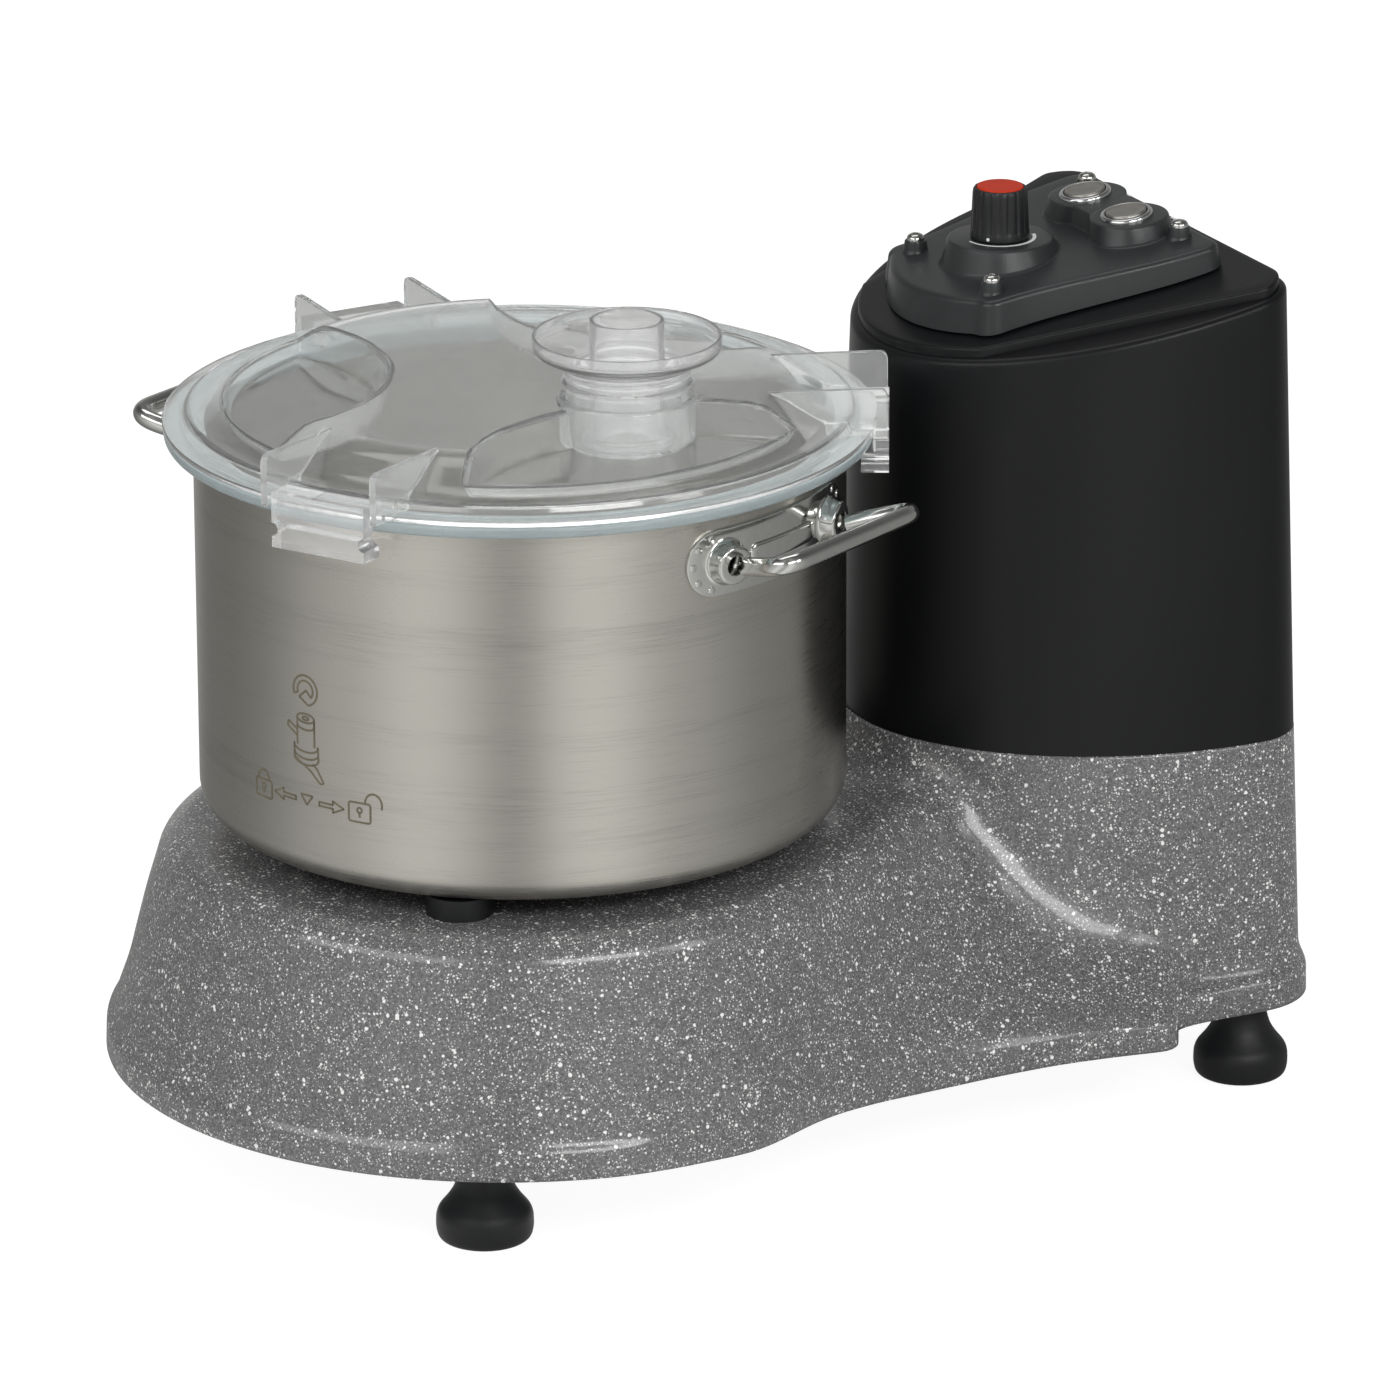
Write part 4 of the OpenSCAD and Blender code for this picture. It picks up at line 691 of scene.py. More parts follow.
def cover_sheet(inset, drop, rows=16):
    """The cover's skin: draughted sides up to a rounded edge, then the sloping top in to its middle line."""
    v = np.linspace(0, 1, rows)[:, None]
    x, y = column_ring(inset + v[:, 0] * COVER_H * DRAFT)
    side = np.stack([x, y, mixed(PARTING, cover_top(x) - COVER_STEP - COVER_EDGE - drop, v)], -1)
    a = np.radians(np.linspace(0, 90, 7))[1:, None]
    x, y = column_ring(inset + COVER_H * DRAFT + COVER_EDGE * (1 - np.cos(a[:, 0])))
    edge = np.stack([x, y, cover_top(x) - COVER_STEP - drop - COVER_EDGE * (1 - np.sin(a))], -1)
    x, y = shrunk_to(edge[-1:, :, 0], edge[-1:, :, 1], 215, 285, 16)
    top = np.stack([x, y, cover_top(x) - COVER_STEP - drop], -1)
    return np.concatenate([side, edge, top])


def cover_step():
    """The raised field on the cover: its outline cut off along two slanting lines, with a rounded rise of 4.2 mm."""
    inset = COVER_H * DRAFT + np.array([3.4, 3.4, 3.6, 4.1, 4.8])
    x, y = column_ring(inset)
    half = mixed(51, 100, (x - COLUMN_TIP - 24) / 125) - (inset - inset[0])[:, None]
    y = np.sign(y) * np.minimum(np.abs(y), np.maximum(half, 4))
    rise = np.array([-5.0, -1.2, -0.5, -0.12, 0.0])[:, None]
    wall = np.stack([x, y, cover_top(x) + rise], -1)
    x, y = shrunk_to(wall[-1:, :, 0], wall[-1:, :, 1], 215, 285, 16)
    top = np.stack([x, y, cover_top(x)], -1)
    floor = top[::-1] - (0, 0, 5)
    return np.concatenate([floor, wall, top])


def panel_ring(inset):
    """The panel's outline: a bulged front, eased sides that widen to the rear, and four round corners."""
    inset = np.atleast_1d(np.array(inset, float))[:, None]
    corner, front, rear = 9 - inset, 48 - 9, 63 - 9
    x0, x1 = PANEL_X + 12 + 9, PANEL_X + PANEL_LONG - 9
    t = np.linspace(1, -1, 41)
    q = np.radians(np.linspace(0, 90, 9))
    s = np.linspace(0, 1, 41)[1:-1]
    wide = mixed(front, rear, s * s * (3 - 2 * s))
    x = [
        PANEL_X + inset + 12 * t * t, x0 + corner * np.cos(np.pi + q), mixed(x0, x1, s) + 0 * corner,
        x1 + corner * np.cos(1.5 * np.pi + q), x1 + corner * np.cos(q), mixed(x1, x0, s) + 0 * corner,
        x0 + corner * np.cos(np.pi / 2 + q),
    ]
    y = [
        front * t + 0 * corner, corner * np.sin(np.pi + q) - front, -wide - corner, corner * np.sin(1.5 * np.pi + q) - rear,
        corner * np.sin(q) + rear, wide[::-1] + corner, corner * np.sin(np.pi / 2 + q) + front,
    ]
    return np.concatenate(x, 1), np.concatenate(y, 1)


def panel_sheet(inset, drop):
    """The panel's skin from the cover up its draughted side, round the edge and in over the slanting face."""
    v = np.linspace(0, 1, 6)[:, None]
    x, y = panel_ring(inset + 1.5 * v[:, 0])
    side = np.stack([x, y, mixed(cover_top(x) + 1, panel_top(x) - 2.5 - drop, v)], -1)
    a = np.radians(np.linspace(0, 90, 7))[1:, None]
    x, y = panel_ring(inset + 1.5 + 2.5 * (1 - np.cos(a[:, 0])))
    edge = np.stack([x, y, panel_top(x) - drop - 2.5 * (1 - np.sin(a))], -1)
    x, y = shrunk_to(edge[-1:, :, 0], edge[-1:, :, 1], 205, 285, 14)
    return np.concatenate([side, edge, np.stack([x, y, panel_top(x) - drop], -1)])


def raised_boss(centre, outline, rows, top, turns=144):
    """A boss on the slanting panel: rings of an outline, each at a share of the height from the panel to the boss's top."""
    a = np.linspace(0, 2 * np.pi, turns + 1)
    rows = np.array(rows, float)
    r = rows[:, :1] * outline(a)
    x, y = centre[0] + r * np.cos(a), centre[1] + r * np.sin(a)
    low = panel_top(x)
    return np.stack([x, y, low + rows[:, 1:2] * (top(x) - low)], -1)


def two_lobes(a):
    """Distance from the middle to the edge of two overlapping discs with a bar between them."""
    across = np.abs(np.cos(a)) * BUTTON_HALF
    disc = np.abs(np.sin(a)) * BUTTON_HALF + np.sqrt(np.maximum(16.6**2 - across**2, 0))
    bar = 12.5 / np.maximum(np.abs(np.cos(a)), 0.05)
    return np.maximum(np.where(across < 16.6, disc, 0), np.minimum(bar, 26))


class CUTTER_OT_base(bpy.types.Operator):
    """Build the speckled base: drum, column foot and skirt in one casting"""

    bl_idname = "cutter.base"
    bl_label = "Base"

    def execute(self, context):
        s = context.scene.cutter_shell
        step = s.lattice / MM
        xs = np.arange(-183, 333, step)
        ys = (np.arange(int(360 / step)) + 0.5) * step - int(360 / step) * step / 2
        zs = np.concatenate([
            [TABLE_GAP, 36.2, 38.5, 41, 43, 44.6, 46, 47, 48, 49, 50.2, 51.8, 54], np.arange(57, 117, 3.2),
            np.arange(118, 136, 1.6), np.arange(138, 152, 3), [152.2, PARTING]
        ])
        points, quads = zero_surface(lambda x, y, z: base_field(x, y, z, s), xs, ys, zs)
        low = (1 - eased(TABLE_GAP, 80, points[:, 2])) * (1 - eased(30, 140, points[:, 0]))
        points[:, 2] += s.lift / MM * low
        hub = np.hypot(points[:, 0], points[:, 1])
        ring = (hub < 26.2) & (points[:, 2] > 120)
        points[ring, :2] *= (24 / np.maximum(hub[ring], 1))[:, None]
        mesh_piece(
            "base_shell", "base", "enamel", [finish_of("speckled_enamel", s)], points, quads, np.zeros(len(quads), int),
            ("base_body",), 50, s.wall / MM, keep=lambda f: ~((np.hypot(f[..., 0], f[..., 1]) < 24.6).all(1) & (f[..., 2] > 120).all(1)),
        )
        x = np.linspace(-170, 317, 120)
        half = np.where(x < -5, np.sqrt(np.maximum(165.0**2 - (x + 5) ** 2, 0)), np.interp(x, *smooth_rows(LIP_HALF, 7)) - 7)
        half = np.where(x > 232, 83.5 + np.sqrt(24.5**2 - np.maximum(x - 292.5, 0) ** 2), half)
        x, y = np.concatenate([x, x[::-1], x[:1]]), np.concatenate([half, -half[::-1], half[:1]])
        within = np.clip(x, -120, 260)
        rows = [np.stack([u, v, 0 * x + z], -1) for u, v, z in (
            (within, 0 * y, 41.0), (x, y, 41.0), (x, y, 38.0), (within, 0 * y, 38.0)
        )]
        piece("under_plate", "base", "plate_steel", [finish_of("zinc_sheet", s)], [np.stack(rows)], ("base_plate",), 40)
        return {"FINISHED"}


class CUTTER_OT_feet(bpy.types.Operator):
    """Build the rubber feet"""

    bl_idname = "cutter.feet"
    bl_label = "Feet"

    def execute(self, context):
        rubber = finish_of("moulded_rubber", context.scene.cutter_shell)
        corners = [
            (0, 0.6), (8, 0.6), (10, 0), (17.4, 0), (19.4, 1.6), (20.2, 5.5), (20.0, 10.6), (19.0, 13.4), (15.6, 17.4),
            (12.6, 22), (11.0, 27.5), (10.4, 34), (10.4, 37.9), (0, 37.9)
        ]
        profile = soften(corners, [0, 1, 1, 1.6, 1.6, 2, 1.4, 1.8, 2.2, 2.5, 2.5, 2, 0.3, 0], 6)
        places = [(-74, -113.5), (-74, 113.5), (293, -94.5), (293, 94.5)]
        piece("rubber_feet", "base", "foot_rubber", [rubber], [turned(profile, p, 64) for p in places], ("feet",), 50)
        return {"FINISHED"}


class CUTTER_OT_cover(bpy.types.Operator):
    """Build the black motor cover with its raised field"""

    bl_idname = "cutter.cover"
    bl_label = "Motor cover"

    def execute(self, context):
        s = context.scene.cutter_shell
        skin = np.concatenate([cover_sheet(0.15, 0)[::-1], cover_sheet(3, 3)])
        piece("cover_shell", "base", "cover_black", [finish_of("satin_abs", s)], [skin, cover_step()], ("motor_cover",), 40)
        return {"FINISHED"}


class CUTTER_OT_panel(bpy.types.Operator):
    """Build the control panel with its bosses, screws and dial marks"""

    bl_idname = "cutter.panel"
    bl_label = "Control panel"

    def execute(self, context):
        s, c = context.scene.cutter_shell, context.scene.cutter_control
        skin = np.concatenate([panel_sheet(0, 0)[::-1], panel_sheet(3, 3)])
        ones = lambda a: 1.0 + 0 * a
        dial = raised_boss(
            (KNOB_X, 0), ones,
            [
                (0, 1), (21.0, 1), (21.7, 0.985), (22.1, 0.95), (22.4, 0.88), (24.6, 0.14), (25.0, 0.05), (25.8, 0),
                (25.8, -0.3), (0, -0.3)
            ],
            lambda x: DIAL_Z + 0 * x,
        )
        rise = c.boss_rise / MM
        pads = raised_boss(
            (BUTTON_X, 0), two_lobes,
            [
                (0, 1), (0.95, 1), (0.985, 0.985), (1, 0.95), (1.01, 0.88), (1.07, 0.12), (1.085, 0.04), (1.11, 0),
                (1.11, -0.5), (0, -0.5)
            ],
            lambda x: panel_top(x) + rise - (x - BUTTON_X) * 0.075,
        )
        places = [(PANEL_X + dx, side * dy) for side in (-1, 1) for dx, dy in ((23, 34), (109, 40))]
        studs, screws = [], []
        for x, y in places:
            z = panel_top(x)
            studs.append(turned(
                soften([(0, z - 1), (6, z - 1), (5.2, z + 0.3), (4.6, z + 4.5), (0, z + 4.5)], [0, 0, 0.9, 0.5, 0], 4),
                (x, y), 40
            ))
            screws.append(hex_screw(x, y, z + 4.5))
        piece(
            "panel_shell", "base", "panel_black", [finish_of("textured_coat", s)], [skin, dial, pads, *studs],
            ("control_panel",), 40
        )
        piece("panel_hex_screws", "base", "screw_steel", [finish_of("polished_steel", s)], screws, ("panel_screws",), 40)
        a = np.radians(np.linspace(-178, -12, 60))
        path = np.stack([KNOB_X + 14.6 * np.cos(a), 14.6 * np.sin(a)], -1)
        scale = ribbon(path, np.linspace(0.35, 0.8, 60), 0.15) + (0, 0, DIAL_Z)
        tags = []
        for side in (-1, 1):
            row = np.linspace(-3.2, 3.2, 12)
            x = np.full(12, BUTTON_X + 20.5)
            strip = ribbon(np.stack([x, side * 21 + row], -1), 0.55, 0.12)
            strip[..., 2] += panel_top(strip[..., 0]) + 0.05
            tags.append(strip)
        piece("dial_scale", "base", "panel_black", [finish_of("white_print", s)], [scale, *tags], sharp=30)
        return {"FINISHED"}


def hex_screw(x, y, z):
    """A button-head screw: a dome whose inner rings go over to a hexagon and down to the socket's floor."""
    a = np.linspace(0, 2 * np.pi, 49)
    flat = np.cos(np.pi / 6) / np.cos(np.mod(a, np.pi / 3) - np.pi / 6)
    rows = np.array(
        [
            (0, 0.2, 0), (3.8, 0.0, 0), (3.8, 0.7, 0), (3.55, 1.5, 0), (3.0, 2.2, 0), (2.2, 2.65, 0.2), (1.55, 2.75, 1),
            (1.5, 2.6, 1), (1.45, 1.2, 1), (0, 1.2, 1)
        ],
        float
    )
    r = rows[:, :1] * mixed(1.0, flat, rows[:, 2:3])
    return np.stack([x + r * np.cos(a), y + r * np.sin(a), z + rows[:, 1:2] + 0 * a], -1)


class CUTTER_OT_knob(bpy.types.Operator):
    """Build the fluted speed knob and its red cap"""

    bl_idname = "cutter.knob"
    bl_label = "Speed knob"

    def execute(self, context):
        s, c = context.scene.cutter_shell, context.scene.cutter_control
        a = np.linspace(0, 2 * np.pi, c.flutes * 12 + 1)
        dent = (0.5 + 0.5 * np.cos(a * c.flutes)) ** 3 * c.flute_depth / MM
        z0 = DIAL_Z + 0.35
        rows = np.array(
            [
                (0, 0, 0), (12.2, 0, 0), (12.5, 0.4, 0), (12.5, 2.6, 0), (12.3, 3.4, 0.6), (12.2, 4.2, 1), (11.9, 12, 1),
                (11.6, 19, 1), (11.35, 20.8, 0.8), (10.9, 21.5, 0.3), (10.2, 21.7, 0), (10.0, 21.2, 0), (10.0, 19.5, 0),
                (0, 19.5, 0)
            ],
            float
        )
        r = rows[:, :1] - rows[:, 2:3] * dent
        grip = np.stack([KNOB_X + r * np.cos(a), r * np.sin(a), z0 + rows[:, 1:2] + 0 * a], -1)
        mark = turned(soften([(0, 0.5), (0.7, 0.4), (0.8, 0)], 0.1), turns=20)
        out = math.radians(-142)
        ahead, side = np.array([math.cos(out), math.sin(out), 0]), np.array([-math.sin(out), math.cos(out), 0])
        mark = np.array([KNOB_X, 0, z0 + 1.6]) + mark[..., :1] * side + mark[..., 1:2] * np.array([0, 0, 1]) + (mark[..., 2:] + 12.3) * ahead
        piece(
            "knob_grip", "knob", "knob_black", [finish_of("phenolic", s), finish_of("white_print", s)], [grip, (mark, 1)],
            ("speed_knob",), 32
        )
        cap = soften([(0, 19.6), (9.9, 19.6), (9.9, 21.9), (9.2, 22.35), (0, 22.1)], [0, 0.1, 0.8, 1.5, 0], 6)
        piece(
            "knob_disc", "knob", "cap_red", [finish_of("cap_red", c)], [turned(cap + (0, z0), (KNOB_X, 0), 72)],
            ("knob_cap",), 40
        )
        return {"FINISHED"}


def tilted(profile, side):
    """A profile turned about the button's own axis, which leans with the panel."""
    grid = turned(profile, turns=72)
    x, y, z = grid[..., 0], grid[..., 1], grid[..., 2]
    c, s = math.cos(BUTTON_LEAN), math.sin(BUTTON_LEAN)
    return np.stack([BUTTON_X + x * c - z * s, side * BUTTON_HALF + y, panel_top(BUTTON_X) + x * s + z * c], -1)


class CUTTER_OT_buttons(bpy.types.Operator):
    """Build the two push buttons and their polished rings"""

    bl_idname = "cutter.buttons"
    bl_label = "Push buttons"

    def execute(self, context):
        s, c = context.scene.cutter_shell, context.scene.cutter_control
        h = c.boss_rise / MM
        for name, side in (("start", -1), ("stop", 1)):
            ring = [
                (9.1, h - 6), (10.2, h - 6), (10.2, h - 0.8), (11.25, h - 0.8), (11.25, h + 1.0), (10.6, h + 1.9),
                (9.2, h + 2.0)
            ]
            piece(
                f"{name}_ring", "base", "bezel_chrome", [finish_of("bright_chrome", s)],
                [tilted(soften(ring, [0.1, 0.1, 0.1, 0.2, 0.5, 0.6, 0.4], 5, True), side)], (f"{name}_bezel",), 35,
            )
            disc = [(0, h - 3.4), (8.7, h - 3.4), (8.7, h + 2.3), (7.9, h + 2.8), (7.3, h + 2.5), (0, h + 2.3)]
            piece(
                f"{name}_disc", name, "button_steel", [finish_of("satin_button", s)],
                [tilted(soften(disc, [0, 0.1, 0.6, 0.5, 0.5, 0], 5), side)], (f"{name}_button",), 35,
            )
        return {"FINISHED"}


class CUTTER_OT_bowl(bpy.types.Operator):
    """Build the brushed bowl with its etched signs"""

    bl_idname = "cutter.bowl"
    bl_label = "Bowl"

    def execute(self, context):
        s = context.scene.cutter_vessel
        r, t = s.corner / MM, s.wall / MM
        a = np.radians(np.linspace(-90, 0, 17))
        out = np.stack([BOWL_R - r + r * np.cos(a), BOWL_FLOOR + r + r * np.sin(a)], -1)
        inner = np.stack([BOWL_R - r + (r - t) * np.cos(a[::-1]), BOWL_FLOOR + r + (r - t) * np.sin(a[::-1])], -1)
        z = np.linspace(BOWL_FLOOR + r, RIM - 0.6, 24)[1:]
        up = np.stack([np.full(23, BOWL_R), z], -1)
        down = np.stack([np.full(23, BOWL_R - t), z[::-1]], -1)
        tip = [(BOWL_R - 0.2, RIM - 0.15), (BOWL_R - t / 2, RIM), (BOWL_R - t + 0.2, RIM - 0.15)]
        floor = [(20.6, BOWL_FLOOR), (90, BOWL_FLOOR)]
        inside = [(90, BOWL_FLOOR + t), (20.6, BOWL_FLOOR + t), (20.6, BOWL_FLOOR)]
        profile = np.vstack([floor, out, up, tip, down, inner, inside])
        piece("bowl_shell", "bowl", "bowl_steel", [finish_of("brushed_steel", s)], [turned(profile, turns=180)], ("bowl",), 40)
        marks = signs(s.mark_width / MM / 2)
        piece("bowl_signs", "bowl", "bowl_steel", [finish_of("etched_mark", s)], [on_bowl(m, -156.5) for m in marks], sharp=60)
        return {"FINISHED"}


def signs(half):
    """Thin raised lines of general signs: turn arrow, hub with two blades, closed and open padlock, arrows and a pointer."""
    high = 0.07
    arc = lambda cx, cz, r, start, end, n=24, flat=1.0: np.stack(
        [
            cx + r * np.cos(np.radians(np.linspace(start, end, n))),
            cz + flat * r * np.sin(np.radians(np.linspace(start, end, n)))
        ], -1
    )
    box = lambda x0, z0, x1, z1, r: soften([(x0, z0), (x1, z0), (x1, z1), (x0, z1)], r, 5, True)[:-1]
    lines = [
        arc(0, 226.5, 6.4, 200, -75, 40), arc(0, 226.5, 4.1, 200, -40, 30), soften([(-6.1, 224.3), (-3.9, 225.1)], 0, 2),
        soften([(1.6, 220.3), (-3.2, 223.4), (0.6, 226.6), (3.2, 223.8)], 0.2, 3),
        soften([(-4.6, 214.5), (-4.6, 202.6)], 0, 2), soften([(4.6, 214.5), (4.6, 202.6)], 0, 2),
        arc(0, 211.4, 4.6, 190, 350, 20, 0.42), arc(0, 202.6, 6.4, 165, 375, 26, 0.42),
        arc(0, 199.9, 6.6, 185, 355, 22, 0.45), arc(0, 197.4, 6.6, 190, 350, 22, 0.45),
        soften([(6.4, 203.0), (6.6, 196.8)], 0, 2), soften([(-6.4, 203.0), (-6.4, 197.0)], 0, 2),
        soften([(-6.3, 197.0), (2.5, 192.2), (7.4, 187.6), (9.2, 188.2), (5.6, 194.0), (3.4, 195.3)], 0.6, 4),
        soften([(-4.6, 209.0), (-9.6, 211.8), (-10.0, 209.6), (-4.6, 206.2)], 0.5, 4),
        arc(-25.8, 182.0, 3.6, 0, 180, 20, 1.15), arc(33.0, 183.2, 3.9, 185, -20, 22, 1.2),
        soften([(26.5, 178.9), (26.5, 176.9)], 0, 2), soften([(-25.8, 178.1), (-25.8, 176.2)], 0, 2),
    ]
    rings = [
        arc(0, 214.5, 4.6, 0, 360, 32, 0.42)[:-1], arc(0, 214.5, 1.7, 0, 360, 20, 0.42)[:-1],
        soften(
            [(-6.0, 178.1), (-13.2, 178.1), (-13.2, 176.4), (-18.6, 178.9), (-13.2, 181.4), (-13.2, 179.7), (-6.0, 179.7)],
            0.1, 3, True
        )[:-1],
        soften(
            [(6.6, 178.3), (13.6, 178.3), (13.6, 176.6), (19.0, 179.1), (13.6, 181.6), (13.6, 179.9), (6.6, 179.9)], 0.1, 3,
            True
        )[:-1],
        soften([(-3.2, 181.4), (3.2, 181.4), (0, 177.2)], 0.3, 3, True)[:-1], box(-31.0, 174.4, -20.6, 182.0, 1.2),
        box(21.4, 174.9, 31.6, 183.2, 1.2), arc(26.5, 180.0, 1.1, 0, 360, 14)[:-1], arc(-25.8, 179.2, 1.1, 0, 360, 14)[:-1],
    ]
    return [ribbon(path, half, high, closed) for paths, closed in ((lines, False), (rings, True)) for path in paths]


class CUTTER_OT_handles(bpy.types.Operator):
    """Build the welded handle plates with their cups and spot welds"""

    bl_idname = "cutter.handles"
    bl_label = "Handle plates"

    def execute(self, context):
        s = context.scene.cutter_vessel
        steel = finish_of("polished_steel", s)
        a = np.radians(np.linspace(0, 360, 73))
        straight = np.linspace(38, -38, 17)[1:-1]
        turn = np.radians(np.concatenate([
            np.linspace(-90, 90, 37), 90 + 0 * straight, np.linspace(90, 270, 36), 270 + 0 * straight
        ]))
        line = np.concatenate([np.full(37, 38.0), straight, np.full(36, -38.0), -straight])

        def stadium(reach, rows):
            """Rings of a bar with round ends: each row shrinks its radius and gives the height off the bowl."""
            rows = np.array(rows, float)
            u = np.append(line, line[0]) * reach / 38 + rows[:, :1] * np.append(np.cos(turn), np.cos(turn[0]))
            v = rows[:, :1] * np.append(np.sin(turn), np.sin(turn[0]))
            return np.stack([u, HANDLE_Z + v, rows[:, 1:2] + 0 * u], -1)

        plate = stadium(38.7, [(0, 0.05), (14, 0.05), (14, 1.0), (13.8, 1.35), (13.3, 1.5), (7, 1.5), (0, 1.5)])
        bar = stadium(17, [(4.4, 1.4), (4.2, 2.2), (3.6, 2.6), (2, 2.7), (0, 2.7)])
        cup = soften(
            [(10.5, 1.4), (9.2, 2.0), (8.3, 5.0), (8.0, 8.1), (7.0, 8.6), (4.1, 8.6), (4.1, 7.0)],
            [0, 0.8, 1.5, 0.5, 0.6, 0.3, 0], 5
        )
        grids = []
        for angle in HANDLES:
            grids += [on_bowl(plate, angle), on_bowl(bar, angle)]
            for side in (-1, 1):
                r, h = cup[:, :1], cup[:, 1:]
                grids.append(on_bowl(
                    np.stack([side * HANDLE_HALF + r * np.cos(a), HANDLE_Z + r * np.sin(a), h + 0 * a], -1), angle
                ))
                for k in np.radians([-78, -39, 0, 39, 78]):
                    dot = np.array([(1.7, 1.45), (1.5, 1.8), (0.9, 2.0), (0, 2.05)])
                    b = a[::3]
                    u = side * (38.7 + 11.2 * math.cos(k)) + dot[:, :1] * np.cos(b)
                    v = HANDLE_Z + 11.2 * math.sin(k) + dot[:, :1] * np.sin(b)
                    grids.append(on_bowl(np.stack([u, v, dot[:, 1:] + 0 * u], -1), angle))
        piece("welded_plates", "bowl", "handle_steel", [steel], grids, ("handle_plates",), 35)
        half = [(HANDLE_HALF, 143, HANDLE_Z), (47.6, 171.3, 290.8)]
        path = soften(half + [(-u, d, z) for u, d, z in half[::-1]], [0, 15, 15, 0], 14)
        flat = np.cross((1, 0, 0), np.subtract(half[1], half[0]) * (0, 1, 1))
        for name, angle in zip(("front_grip", "rear_grip"), np.radians(HANDLES)):
            u, d, z = np.moveaxis(rod(path, flat / np.linalg.norm(flat), 4.0), -1, 0)
            bent = np.stack([d * np.cos(angle) - u * np.sin(angle), d * np.sin(angle) + u * np.cos(angle), z], -1)
            piece(name, "bowl", "handle_steel", [steel], [bent], (name.replace("grip", "handle"),), 60)
        return {"FINISHED"}


def star_height(x, y, settings):
    """The lid's top: flat star, cone, rib and flange, sunk to the window floor where a disc of radius 122 overlaps one of
    three discs of radius 90, over a wall 4 mm wide."""
    r = np.hypot(x, y)
    table = np.array([
        (0, STAR), (106, STAR), (111, STAR - 1), (126, 317.5), (130.2, 316), (137.9, 316), (138.6, 315.4), (139.6, 312.4),
        (140.4, 312), (150, 312)
    ])
    z = np.interp(r, table[:, 0], table[:, 1])
    sunk = np.zeros_like(r)
    for a in np.radians(WINDOWS):
        from_rim = np.hypot(x - WINDOW_OUT * math.cos(a), y - WINDOW_OUT * math.sin(a))
        depth = np.minimum(WINDOW_R - from_rim, WINDOW_RIM - r)
        sunk = np.maximum(sunk, eased(-0.8, 3.2, depth))
    return mixed(z, np.minimum(z, settings.window_floor / MM), sunk)


